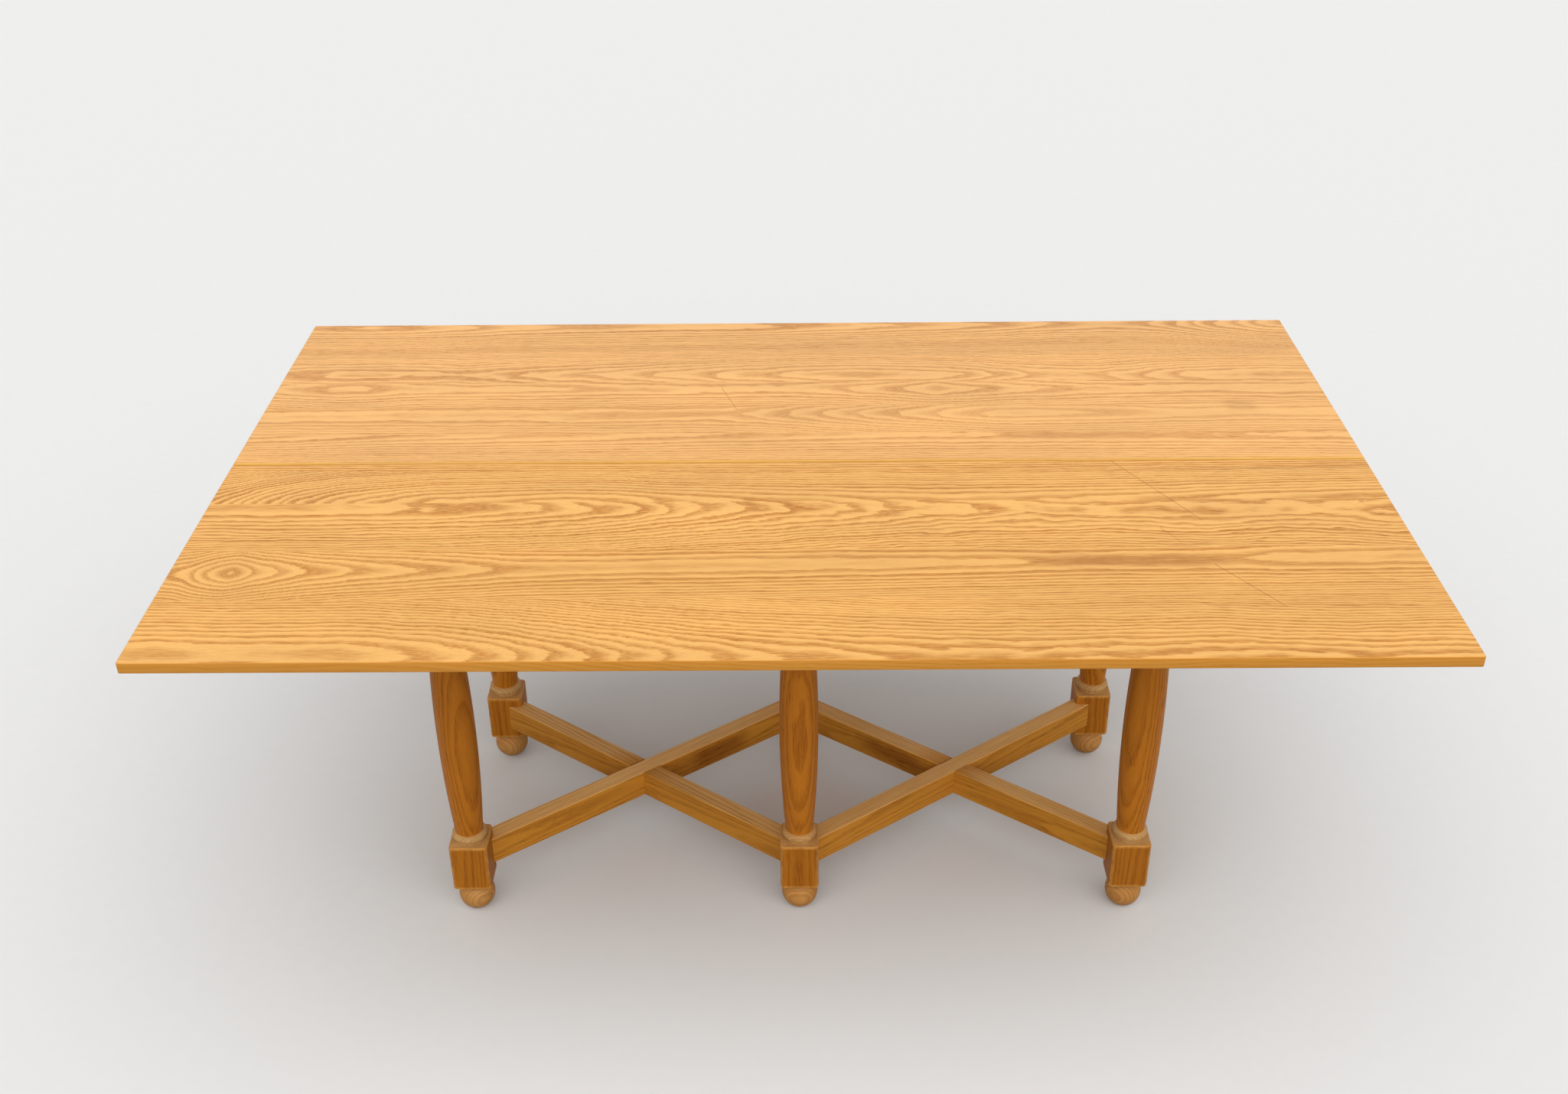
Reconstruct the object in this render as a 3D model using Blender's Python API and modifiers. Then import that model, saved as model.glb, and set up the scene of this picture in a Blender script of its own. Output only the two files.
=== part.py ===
"""Sliding flip-top hall table in oak, modelled opened flat.

Six turned legs, tied by aprons above and by two crossed pairs of stretchers below, carry a
top of two equal leaves. The front leaf is fixed to battens that slide front to back between
guide rails. The rear leaf folds over onto it on concealed barrel hinges. Folded and slid back,
the doubled top sits centred over the base as a narrow hall table.

Units are metres. +X runs along the table, +Y to its back, +Z up. The origin is on the floor
under the middle of the fold.
"""

import math

import bmesh
import bpy
from mathutils import Matrix, Vector

# Clearances
FIT = 0.0003
SLIDE_CLEARANCE = 0.0007
STOP_CLEARANCE = 0.0005

# Top
TOP_LENGTH = 1.829
LEAF_DEPTH = 0.559
LEAF_THICKNESS = 0.017
TABLE_HEIGHT = 0.749
EDGE_EASE = 0.0012
FOLD_GAP = 0.0006

# Legs
LEG_PITCH = 0.557
LEG_ROW = 0.212
LEG_BLANK = 0.0645
BLOCK_CHAMFER = 0.004
BALL_RADIUS = 0.0305
FOOT_FLAT_RADIUS = 0.0130
NECK_RADIUS = 0.016
LOWER_BLOCK_BOTTOM = 0.058
LOWER_BLOCK_HEIGHT = 0.0905
UPPER_BLOCK_HEIGHT = 0.127
COLLAR_RADIUS = 0.024
COLLAR_HEIGHT = 0.003
BEAD_RADIUS = 0.008
BEAD_REACH = 0.0291
BEAD_SPREAD = math.radians(75.0)
SHAFT_END_RADIUS = 0.0232
SHAFT_MIDDLE_RADIUS = 0.0316

# Stretchers
STRETCHER_WIDTH = 0.0315
STRETCHER_HEIGHT = 0.0505
STRETCHER_RISE = 0.0015
STRETCHER_INSET = 0.007
STRETCHER_EASE = 0.0012
STRETCHER_END = 0.010
DOWEL_RADIUS = 0.005
DOWEL_LENGTH = 0.056
DOWEL_START = 0.016

# Aprons and cross rail
APRON_HEIGHT = 0.095
APRON_THICKNESS = 0.022
APRON_SETBACK = 0.006
TENON_LENGTH = 0.020
TENON_THICKNESS = 0.010
TENON_SHOULDER = 0.015
FELT_WIDTH = 0.012
FELT_THICKNESS = 0.0017
FELT_INSET = 0.002

# Slide rails and battens
GUIDE_WIDTH = 0.032
GUIDE_HEIGHT = 0.045
HOUSING_DEPTH = 0.006
LIP_THICKNESS = 0.016
TONGUE_REACH = 0.014
TONGUE_THICKNESS = 0.012
BATTEN_WIDTH = 0.050
BATTEN_SCREW_LENGTH = 0.040
BATTEN_SCREW_RADIUS = 0.0021
BATTEN_SCREW_INSET = 0.030

# Concealed barrel hinges
HINGE_COUNT = 4
HINGE_END_INSET = 0.160
FOLD_LIFT = 0.0003
BARREL_RADIUS = 0.0066
BARREL_DEPTH = 0.0172
BARREL_COVER = 0.0019
BARREL_BACK = 0.0040
POCKET_HEIGHT = 0.0100
PIVOT_REACH = 0.0035
PIVOT_DEPTH = 0.0055
EYE_RADIUS = 0.0019
PIN_RADIUS = 0.0009
PIN_CLEARANCE = 0.00025
LINK_THICKNESS = 0.0013
LINK_GAP = 0.0003

# Smoothness of round pieces, in sides or steps
TURNED_SIDES = 20
BEAD_STEPS = 4
SHAFT_STEPS = 7
BALL_STEPS = 6
DOWEL_SIDES = 16
BARREL_SIDES = 20
SMALL_SIDES = 10

# Levels and lines that the pieces share
HALF_BLANK = LEG_BLANK / 2
LEAF_UNDERSIDE = TABLE_HEIGHT - LEAF_THICKNESS
FRAME_TOP = LEAF_UNDERSIDE - FELT_THICKNESS - 2 * FIT
UPPER_BLOCK_BOTTOM = FRAME_TOP - UPPER_BLOCK_HEIGHT
LOWER_BLOCK_TOP = LOWER_BLOCK_BOTTOM + LOWER_BLOCK_HEIGHT
LOWER_BLOCK_LEVEL = LOWER_BLOCK_BOTTOM + LOWER_BLOCK_HEIGHT / 2
STRETCHER_LEVEL = LOWER_BLOCK_LEVEL + STRETCHER_RISE
STRETCHER_ROW = LEG_ROW - STRETCHER_INSET
STRETCHER_RUN = math.hypot(LEG_PITCH, 2 * STRETCHER_ROW)
STRETCHER_ANGLE = math.atan2(2 * STRETCHER_ROW, LEG_PITCH)
APRON_LEVEL = FRAME_TOP - APRON_HEIGHT / 2
APRON_OFFSET = HALF_BLANK - APRON_SETBACK - APRON_THICKNESS / 2
APRON_INNER = LEG_ROW + APRON_OFFSET - APRON_THICKNESS / 2
SLIDE_TRAVEL = LEAF_DEPTH / 2
SLIDE_LINE = LEG_PITCH / 2
BATTEN_LENGTH = 2 * APRON_INNER - SLIDE_TRAVEL - 2 * STOP_CLEARANCE
BATTEN_FRONT = -APRON_INNER + STOP_CLEARANCE
TONGUE_TOP = FRAME_TOP - LIP_THICKNESS - SLIDE_CLEARANCE
TONGUE_BOTTOM = TONGUE_TOP - TONGUE_THICKNESS
FOLD_AXIS = Vector((0.0, 0.0, TABLE_HEIGHT + FOLD_LIFT))
PIVOT_DROP = PIVOT_DEPTH + FOLD_LIFT
FRONT_PIVOT = Vector((0.0, PIVOT_REACH, -PIVOT_DROP))
REAR_PIVOT = Vector((0.0, -PIVOT_REACH, -PIVOT_DROP))
CENTRE_PIVOT = FRONT_PIVOT + REAR_PIVOT
LAYER = LINK_THICKNESS + LINK_GAP
REAR_ARM_X, REAR_LINK_X, FRONT_LINK_X, FRONT_ARM_X = (LAYER * (k - 1.5) for k in range(4))
POCKET_WIDTH = 4 * LAYER + LINK_GAP
BARREL_DROP = FOLD_LIFT + BARREL_COVER + BARREL_RADIUS

# Finishes as base colour, roughness and metallic
TOP_OAK = ((0.55, 0.29, 0.10, 1.0), 0.34, 0.0)
LEG_OAK = ((0.38, 0.17, 0.05, 1.0), 0.40, 0.0)
FRAME_OAK = ((0.40, 0.20, 0.07, 1.0), 0.52, 0.0)
SLIDE_OAK = ((0.56, 0.38, 0.19, 1.0), 0.60, 0.0)
DOWEL_WOOD = ((0.62, 0.45, 0.26, 1.0), 0.65, 0.0)
FELT = ((0.07, 0.05, 0.04, 1.0), 0.95, 0.0)
HINGE_STEEL = ((0.52, 0.50, 0.46, 1.0), 0.34, 1.0)
SCREW_STEEL = ((0.45, 0.44, 0.42, 1.0), 0.40, 1.0)

SIDES = {"left": -1, "middle": 0, "right": 1}
ROWS = {"front": -1, "rear": 1}


def new_collection(name):
    collection = bpy.data.collections.new(name)
    bpy.context.scene.collection.children.link(collection)
    return collection


def new_empty(name, at, parent=None):
    empty = bpy.data.objects.new(name, None)
    empty.empty_display_size = 0.05
    PARTS.objects.link(empty)
    place(empty, at, parent)
    return empty


def place(obj, at, parent):
    """Puts an object at a world position and lets it follow its parent from there."""
    obj.location = at
    if parent is not None:
        bpy.context.view_layer.update()
        obj.parent = parent
        obj.matrix_parent_inverse = parent.matrix_world.inverted()


def finish(name, look):
    colour, roughness, metallic = look
    material = bpy.data.materials.new(f"{name}_finish")
    material.use_nodes = True
    shader = material.node_tree.nodes["Principled BSDF"]
    shader.inputs["Base Color"].default_value = colour
    shader.inputs["Roughness"].default_value = roughness
    shader.inputs["Metallic"].default_value = metallic
    return material


def add_part(name, shape, at, look, parent):
    """Makes a named piece from a bmesh that is drawn around its own origin."""
    mesh = bpy.data.meshes.new(name)
    shape.to_mesh(mesh)
    shape.free()
    mesh.materials.append(finish(name, look))
    obj = bpy.data.objects.new(name, mesh)
    PARTS.objects.link(obj)
    place(obj, at, parent)
    return obj


def add_cutter(name, shape, at=(0.0, 0.0, 0.0)):
    """Makes a helper, drawn around its own origin, that is cut from or joined to pieces."""
    mesh = bpy.data.meshes.new(name)
    shape.to_mesh(mesh)
    shape.free()
    obj = bpy.data.objects.new(name, mesh)
    obj.location = at
    obj.hide_render = True
    obj.display_type = "WIRE"
    CUTTERS.objects.link(obj)
    return obj


def boolean(obj, helper, operation="DIFFERENCE"):
    modifier = obj.modifiers.new(f"{operation.lower()} {helper.name}", "BOOLEAN")
    modifier.operation = operation
    modifier.object = helper
    modifier.solver = "EXACT"


def ease_edges(obj, width, segments):
    modifier = obj.modifiers.new("eased edges", "BEVEL")
    modifier.width = width
    modifier.segments = segments
    modifier.limit_method = "ANGLE"


def round_shading(obj):
    obj.data.shade_smooth()
    obj.data.set_sharp_from_angle(angle=math.radians(40.0))


def add_box(shape, size, centre=(0.0, 0.0, 0.0), turn=0.0):
    matrix = Matrix.Translation(centre) @ Matrix.Rotation(turn, 4, "Z") @ Matrix.Diagonal((*size, 1.0))
    return bmesh.ops.create_cube(shape, size=1.0, matrix=matrix)["verts"]


def add_cylinder(shape, radius, length, centre, direction, sides):
    turn = Vector((0.0, 0.0, 1.0)).rotation_difference(Vector(direction)).to_matrix().to_4x4()
    bmesh.ops.create_cone(
        shape,
        cap_ends=True,
        segments=sides,
        radius1=radius,
        radius2=radius,
        depth=length,
        matrix=Matrix.Translation(centre) @ turn,
    )


def add_block(shape, centre, height, grow=0.0):
    """Adds a leg's square block, its upright corners chamfered."""
    side = LEG_BLANK + 2 * grow
    corners = add_box(shape, (side, side, height + 2 * grow), centre)
    upright = [
        edge
        for edge in {edge for corner in corners for edge in corner.link_edges}
        if abs(edge.verts[0].co.z - edge.verts[1].co.z) > height / 2
    ]
    bmesh.ops.bevel(shape, geom=upright, offset=BLOCK_CHAMFER, segments=1, affect="EDGES")


def add_copies(shape, mesh, matrices):
    """Adds a copy of a mesh at each matrix, then removes the mesh."""
    for matrix in matrices:
        copy = mesh.copy()
        copy.transform(matrix)
        shape.from_mesh(copy)
        bpy.data.meshes.remove(copy)
    bpy.data.meshes.remove(mesh)


def evaluated_mesh(obj):
    """The mesh of a helper object with its modifiers or its curve's fill, welded and facing out."""
    graph = bpy.context.evaluated_depsgraph_get()
    mesh = bpy.data.meshes.new_from_object(obj.evaluated_get(graph))
    bpy.data.objects.remove(obj)
    shape = bmesh.new()
    shape.from_mesh(mesh)
    bmesh.ops.remove_doubles(shape, verts=shape.verts, dist=1e-6)
    bmesh.ops.recalc_face_normals(shape, faces=shape.faces)
    shape.to_mesh(mesh)
    shape.free()
    return mesh


def plate(outlines, thickness):
    """A flat plate in XY, centred on its thickness. Outlines inside the first are holes."""
    curve = bpy.data.curves.new("plate outline", "CURVE")
    curve.dimensions = "2D"
    curve.fill_mode = "BOTH"
    curve.extrude = thickness / 2
    for outline in outlines:
        spline = curve.splines.new("POLY")
        spline.points.add(len(outline) - 1)
        for point, (x, y) in zip(spline.points, outline):
            point.co = (x, y, 0.0, 1.0)
        spline.use_cyclic_u = True
    obj = bpy.data.objects.new("plate", curve)
    CUTTERS.objects.link(obj)
    return evaluated_mesh(obj)


def turn_profile(obj, sides):
    """Turns an object's profile, which runs down its outer side, about Z."""
    modifier = obj.modifiers.new("turned", "SCREW")
    modifier.axis = "Z"
    modifier.angle = 2 * math.pi
    modifier.steps = sides
    modifier.render_steps = sides
    modifier.use_merge_vertices = True
    modifier.merge_threshold = 1e-5
    modifier.use_smooth_shade = True


def profile_shape(points):
    shape = bmesh.new()
    corners = [shape.verts.new((radius, 0.0, level)) for radius, level in points]
    for upper, lower in zip(corners, corners[1:]):
        shape.edges.new((upper, lower))
    return shape


def turned_mesh(points, sides):
    mesh = bpy.data.meshes.new("turned piece")
    shape = profile_shape(points)
    shape.to_mesh(mesh)
    shape.free()
    obj = bpy.data.objects.new("turned piece", mesh)
    CUTTERS.objects.link(obj)
    turn_profile(obj, sides)
    return evaluated_mesh(obj)


def spread(first, last, steps):
    """Evenly spaced values from first to last, both included."""
    return [first + (last - first) * k / steps for k in range(steps + 1)]


def arc(centre, radius, first, last, steps):
    x, y = centre
    return [(x + radius * math.cos(a), y + radius * math.sin(a)) for a in spread(first, last, steps)]


def circle(centre, radius, sides):
    return arc(centre, radius, 0.0, 2 * math.pi, sides)[:-1]


def stadium(start, end, radius, sides):
    """The outline round two eyes of one radius."""
    heading = math.atan2(end[1] - start[1], end[0] - start[0])
    quarter = math.pi / 2
    outline = arc(end, radius, heading - quarter, heading + quarter, sides // 2)
    return outline + arc(start, radius, heading + quarter, heading + 3 * quarter, sides // 2)


def leg_axis(side, row):
    return Vector((side * LEG_PITCH, row * LEG_ROW, 0.0))


def bead_profile(level):
    waist = BEAD_REACH - BEAD_RADIUS
    return arc((waist, level), BEAD_RADIUS, BEAD_SPREAD, -BEAD_SPREAD, BEAD_STEPS)


def leg_profile():
    """Radius and level down the turned outline. Its ends inside the square blocks don't show."""
    bead_half = BEAD_RADIUS * math.sin(BEAD_SPREAD)
    upper_bead = UPPER_BLOCK_BOTTOM - COLLAR_HEIGHT - bead_half
    lower_bead = LOWER_BLOCK_TOP + COLLAR_HEIGHT + bead_half
    inside_upper = UPPER_BLOCK_BOTTOM + UPPER_BLOCK_HEIGHT / 2
    inside_lower = LOWER_BLOCK_LEVEL
    swell = SHAFT_MIDDLE_RADIUS - SHAFT_END_RADIUS
    shaft_top = upper_bead - bead_half
    shaft_drop = shaft_top - lower_bead - bead_half
    shaft = [
        (SHAFT_MIDDLE_RADIUS - swell * (1 - 2 * t) ** 2, shaft_top - shaft_drop * t)
        for t in spread(0.0, 1.0, SHAFT_STEPS)
    ]
    ball_level = math.sqrt(BALL_RADIUS**2 - FOOT_FLAT_RADIUS**2)
    ball_top = math.acos(NECK_RADIUS / BALL_RADIUS)
    ball_bottom = -math.acos(FOOT_FLAT_RADIUS / BALL_RADIUS)
    return [
        (0.0, inside_upper),
        (COLLAR_RADIUS, inside_upper),
        (COLLAR_RADIUS, UPPER_BLOCK_BOTTOM - COLLAR_HEIGHT),
        *bead_profile(upper_bead),
        *shaft,
        *bead_profile(lower_bead),
        (COLLAR_RADIUS, LOWER_BLOCK_TOP + COLLAR_HEIGHT),
        (COLLAR_RADIUS, inside_lower),
        (NECK_RADIUS, inside_lower),
        *arc((0.0, ball_level), BALL_RADIUS, ball_top, ball_bottom, BALL_STEPS),
        (0.0, 0.0),
    ]


def stretcher_lines():
    """Name, bay, slope and whether it laps over. A bar of slope 1 runs front left to rear right."""
    for bay, side in (("left", -1), ("right", 1)):
        yield f"stretcher_{bay}_over", side, 1, True
        yield f"stretcher_{bay}_under", side, -1, False


def stretcher_axis(slope):
    return Vector((math.cos(STRETCHER_ANGLE), slope * math.sin(STRETCHER_ANGLE), 0.0))


def dowel_lines():
    """Name, middle point and axis of the dowel at each end of each stretcher."""
    reach = STRETCHER_RUN / 2 - DOWEL_START - DOWEL_LENGTH / 2
    for name, side, slope, _ in stretcher_lines():
        crossing = Vector((side * LEG_PITCH / 2, 0.0, STRETCHER_LEVEL))
        axis = stretcher_axis(slope)
        for end_name, end in (("start", -1), ("end", 1)):
            yield f"dowel_{name}_{end_name}", crossing + axis * reach * end, axis


def apron_lines():
    """Name, middle point and unit direction of each rail between two legs, with the legs' spacing."""
    along = Vector((1.0, 0.0, 0.0))
    across = Vector((0.0, 1.0, 0.0))
    for row_name, row in ROWS.items():
        for side_name, side in (("left", -1), ("right", 1)):
            middle = Vector((side * LEG_PITCH / 2, row * (LEG_ROW + APRON_OFFSET), APRON_LEVEL))
            yield f"apron_{row_name}_{side_name}", middle, along, LEG_PITCH
    for side_name, side in SIDES.items():
        name = "cross_rail_middle" if side == 0 else f"apron_end_{side_name}"
        yield name, Vector((side * (LEG_PITCH + APRON_OFFSET), 0.0, APRON_LEVEL)), across, 2 * LEG_ROW


def rail_size(direction, length, thickness, height):
    return (length, thickness, height) if direction.x else (thickness, length, height)


def tenon_size(direction, spacing, grow):
    length = spacing - LEG_BLANK + 2 * TENON_LENGTH
    height = APRON_HEIGHT - 2 * TENON_SHOULDER
    return rail_size(direction, length + 2 * grow, TENON_THICKNESS + 2 * grow, height + 2 * grow)


def build_legs():
    sockets = bmesh.new()
    for _, middle, direction, spacing in apron_lines():
        add_box(sockets, tenon_size(direction, spacing, FIT), middle)
    mortises = add_cutter("apron mortises", sockets)
    bores = bmesh.new()
    for _, middle, axis in dowel_lines():
        add_cylinder(bores, DOWEL_RADIUS + FIT, DOWEL_LENGTH + 2 * FIT, middle, axis, DOWEL_SIDES)
    holes = add_cutter("dowel holes", bores)
    for row_name, row in ROWS.items():
        for side_name, side in SIDES.items():
            name = f"leg_{row_name}_{side_name}"
            axis = leg_axis(side, row)
            leg = add_part(name, profile_shape(leg_profile()), axis, LEG_OAK, BASE)
            turn_profile(leg, TURNED_SIDES)
            lower = bmesh.new()
            add_block(lower, axis + Vector((0.0, 0.0, LOWER_BLOCK_LEVEL)), LOWER_BLOCK_HEIGHT)
            boolean(leg, add_cutter(f"{name} lower block", lower), "UNION")
            upper = bmesh.new()
            middle = FRAME_TOP - UPPER_BLOCK_HEIGHT / 2
            add_block(upper, axis + Vector((0.0, 0.0, middle)), UPPER_BLOCK_HEIGHT)
            boolean(leg, add_cutter(f"{name} upper block", upper), "UNION")
            boolean(leg, mortises)
            boolean(leg, holes)
    return holes


def build_stretchers(holes):
    """Bars scribed to the corners of the blocks and half lapped where they cross."""
    blocks = bmesh.new()
    for row in ROWS.values():
        for side in SIDES.values():
            centre = leg_axis(side, row) + Vector((0.0, 0.0, LOWER_BLOCK_LEVEL))
            add_block(blocks, centre, LOWER_BLOCK_HEIGHT, FIT)
    corners = add_cutter("block corners", blocks)
    size = (STRETCHER_RUN - 2 * STRETCHER_END, STRETCHER_WIDTH, STRETCHER_HEIGHT)
    for name, side, slope, over in stretcher_lines():
        crossing = Vector((side * LEG_PITCH / 2, 0.0, STRETCHER_LEVEL))
        shape = bmesh.new()
        add_box(shape, size, turn=slope * STRETCHER_ANGLE)
        bar = add_part(name, shape, crossing, LEG_OAK, BASE)
        ease_edges(bar, STRETCHER_EASE, 1)
        lap = bmesh.new()
        lap_middle = crossing + Vector((0.0, 0.0, (-1 if over else 1) * (STRETCHER_HEIGHT - FIT) / 2))
        lap_size = (STRETCHER_RUN, STRETCHER_WIDTH + 2 * FIT, STRETCHER_HEIGHT)
        add_box(lap, lap_size, lap_middle, -slope * STRETCHER_ANGLE)
        boolean(bar, add_cutter(f"{name} lap", lap))
        boolean(bar, corners)
        boolean(bar, holes)
    for name, middle, axis in dowel_lines():
        shape = bmesh.new()
        add_cylinder(shape, DOWEL_RADIUS, DOWEL_LENGTH, (0.0, 0.0, 0.0), axis, DOWEL_SIDES)
        round_shading(add_part(name, shape, middle, DOWEL_WOOD, BASE))


def guide_lines():
    """Name, X and the side that faces the batten, for each guide rail."""
    offset = BATTEN_WIDTH / 2 + SLIDE_CLEARANCE + GUIDE_WIDTH / 2
    for bay, side in (("left", -1), ("right", 1)):
        for place_name, facing in (("outer", -side), ("inner", side)):
            yield f"guide_rail_{bay}_{place_name}", side * SLIDE_LINE - facing * offset, facing


def build_aprons():
    """Rails tenoned into the legs. The long ones are housed inside for the guide rails' ends."""
    housings = bmesh.new()
    height = GUIDE_HEIGHT + FIT
    for _, x, _ in guide_lines():
        size = (GUIDE_WIDTH + 2 * FIT, 2 * (APRON_INNER + HOUSING_DEPTH), 2 * height)
        add_box(housings, size, (x, 0.0, FRAME_TOP))
    housing = add_cutter("guide housings", housings)
    for name, middle, direction, spacing in apron_lines():
        shape = bmesh.new()
        length = spacing - LEG_BLANK - 2 * FIT
        add_box(shape, rail_size(direction, length, APRON_THICKNESS, APRON_HEIGHT))
        rail = add_part(name, shape, middle, FRAME_OAK, BASE)
        tenon = bmesh.new()
        add_box(tenon, tenon_size(direction, spacing, 0.0), middle)
        boolean(rail, add_cutter(f"{name} tenon", tenon), "UNION")
        if direction.x:
            boolean(rail, housing)


def build_felt():
    """A strip along each long side of the frame, which the leaves slide and rest on."""
    line = LEG_ROW + APRON_OFFSET + APRON_THICKNESS / 2 - FELT_INSET - FELT_WIDTH / 2
    level = FRAME_TOP + FIT + FELT_THICKNESS / 2
    for row_name, row in ROWS.items():
        shape = bmesh.new()
        add_box(shape, (2 * LEG_PITCH, FELT_WIDTH, FELT_THICKNESS))
        add_part(f"felt_strip_{row_name}", shape, (0.0, row * line, level), FELT, BASE)


def section_along_y(outline, length):
    """A bar of the section given in X and Z, lying along Y and centred on it."""
    shape = bmesh.new()
    add_copies(shape, plate([outline], length), [Matrix.Rotation(math.pi / 2, 4, "X")])
    return shape


def build_guides():
    """Grooved rails that capture the battens' tongues."""
    half = GUIDE_WIDTH / 2
    floor = half - TONGUE_REACH - SLIDE_CLEARANCE
    groove_top = -LIP_THICKNESS
    groove_bottom = groove_top - TONGUE_THICKNESS - 2 * SLIDE_CLEARANCE
    section = [
        (half, 0.0),
        (-half, 0.0),
        (-half, -GUIDE_HEIGHT),
        (half, -GUIDE_HEIGHT),
        (half, groove_bottom),
        (floor, groove_bottom),
        (floor, groove_top),
        (half, groove_top),
    ]
    length = 2 * (APRON_INNER + HOUSING_DEPTH - FIT)
    for name, x, facing in guide_lines():
        outline = [(facing * across, level) for across, level in section]
        add_part(name, section_along_y(outline, length), (x, 0.0, FRAME_TOP), SLIDE_OAK, BASE)


def screw_profile(length, radius, grow):
    """A countersunk screw pointing up, from its tip down to the flat of its head."""
    head = 2 * radius + grow
    shank = radius + grow
    neck = radius + grow
    return [
        (0.0, length + grow),
        (shank, length - 2 * radius + grow),
        (shank, neck),
        (head, 0.0),
        (head, -grow),
        (0.0, -grow),
    ]


def batten_screw_places():
    """Name and head point of each screw that holds a batten up to the leaf."""
    middle = BATTEN_FRONT + BATTEN_LENGTH / 2
    reach = BATTEN_LENGTH / 2 - BATTEN_SCREW_INSET
    for bay, side in (("left", -1), ("right", 1)):
        for row_name, row in ROWS.items():
            head = Vector((side * SLIDE_LINE, middle + row * reach, TONGUE_BOTTOM + FIT))
            yield f"batten_screw_{bay}_{row_name}", head


def batten_screw_holes():
    mesh = turned_mesh(screw_profile(BATTEN_SCREW_LENGTH, BATTEN_SCREW_RADIUS, FIT), SMALL_SIDES)
    shape = bmesh.new()
    add_copies(shape, mesh, [Matrix.Translation(head) for _, head in batten_screw_places()])
    return shape


def build_battens(screw_holes):
    """Tongued battens under the front leaf. They meet the aprons at both ends of their travel."""
    half = BATTEN_WIDTH / 2
    wide = half + TONGUE_REACH
    height = LEAF_UNDERSIDE - FIT - TONGUE_BOTTOM
    outline = [
        (half, height),
        (-half, height),
        (-half, TONGUE_THICKNESS),
        (-wide, TONGUE_THICKNESS),
        (-wide, 0.0),
        (wide, 0.0),
        (wide, TONGUE_THICKNESS),
        (half, TONGUE_THICKNESS),
    ]
    for bay, side in (("left", -1), ("right", 1)):
        at = (side * SLIDE_LINE, BATTEN_FRONT + BATTEN_LENGTH / 2, TONGUE_BOTTOM)
        shape = section_along_y(outline, BATTEN_LENGTH)
        batten = add_part(f"slide_batten_{bay}", shape, at, SLIDE_OAK, CARRIAGE)
        boolean(batten, screw_holes)
    for name, head in batten_screw_places():
        shape = profile_shape(screw_profile(BATTEN_SCREW_LENGTH, BATTEN_SCREW_RADIUS, 0.0))
        turn_profile(add_part(name, shape, head, SCREW_STEEL, CARRIAGE), SMALL_SIDES)


def hinge_places():
    """Number of each hinge and its point on the fold axis. Its pieces are drawn around that point."""
    reach = TOP_LENGTH / 2 - HINGE_END_INSET
    stations = enumerate(spread(-reach, reach, HINGE_COUNT - 1), start=1)
    return [(number, FOLD_AXIS + Vector((x, 0.0, 0.0))) for number, x in stations]


def hinge_plate(start, end, holes, x):
    """A flat arm or link that stands in the YZ plane at X, round at both eyes."""
    outlines = [stadium((start.y, start.z), (end.y, end.z), EYE_RADIUS, 2 * SMALL_SIDES)]
    outlines += [circle((eye.y, eye.z), PIN_RADIUS + PIN_CLEARANCE, SMALL_SIDES) for eye in holes]
    stand = Matrix(((0, 0, 1, 0), (1, 0, 0, 0), (0, 1, 0, 0), (0, 0, 0, 1)))
    shape = bmesh.new()
    add_copies(shape, plate(outlines, LINK_THICKNESS), [Matrix.Translation((x, 0.0, 0.0)) @ stand])
    return shape


def hinge_stud(pivot, carrier_x, eye_x):
    """A pin from inside the plate that carries it to the far face of the eye that turns on it."""
    heading = math.copysign(1.0, eye_x - carrier_x)
    length = abs(eye_x - carrier_x) + LINK_THICKNESS / 2
    centre = pivot + Vector((carrier_x + heading * length / 2, 0.0, 0.0))
    shape = bmesh.new()
    add_cylinder(shape, PIN_RADIUS, length, centre, (1.0, 0.0, 0.0), SMALL_SIDES)
    return shape


def build_barrel(name, at, row, body, pivot, arm_x):
    """A round body with a pocket, and the arm that reaches across the fold to its pivot."""
    shape = bmesh.new()
    centre = (0.0, row * (FOLD_GAP / 2 + BARREL_DEPTH / 2), -BARREL_DROP)
    add_cylinder(shape, BARREL_RADIUS, BARREL_DEPTH, centre, (0.0, 1.0, 0.0), BARREL_SIDES)
    barrel = add_part(name, shape, at, HINGE_STEEL, body)
    pocket = bmesh.new()
    pocket_depth = FOLD_GAP / 2 + BARREL_DEPTH - BARREL_BACK
    add_box(pocket, (POCKET_WIDTH, 2 * pocket_depth, POCKET_HEIGHT), (0.0, 0.0, -BARREL_DROP))
    boolean(barrel, add_cutter(f"{name} pocket", pocket, at))
    root = Vector((0.0, row * pocket_depth, pivot.z))
    boolean(barrel, add_cutter(f"{name} arm", hinge_plate(root, pivot, [pivot], arm_x), at), "UNION")


def build_link(name, at, body, shape, link_x, studs):
    """A link from its barrel's pivot to the centre pivot, with the studs that it carries."""
    link = add_part(name, shape, at, HINGE_STEEL, body)
    for k, (stud_pivot, eye_x) in enumerate(studs, start=1):
        stud = hinge_stud(stud_pivot, link_x, eye_x)
        boolean(link, add_cutter(f"{name} stud {k}", stud, at), "UNION")


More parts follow.
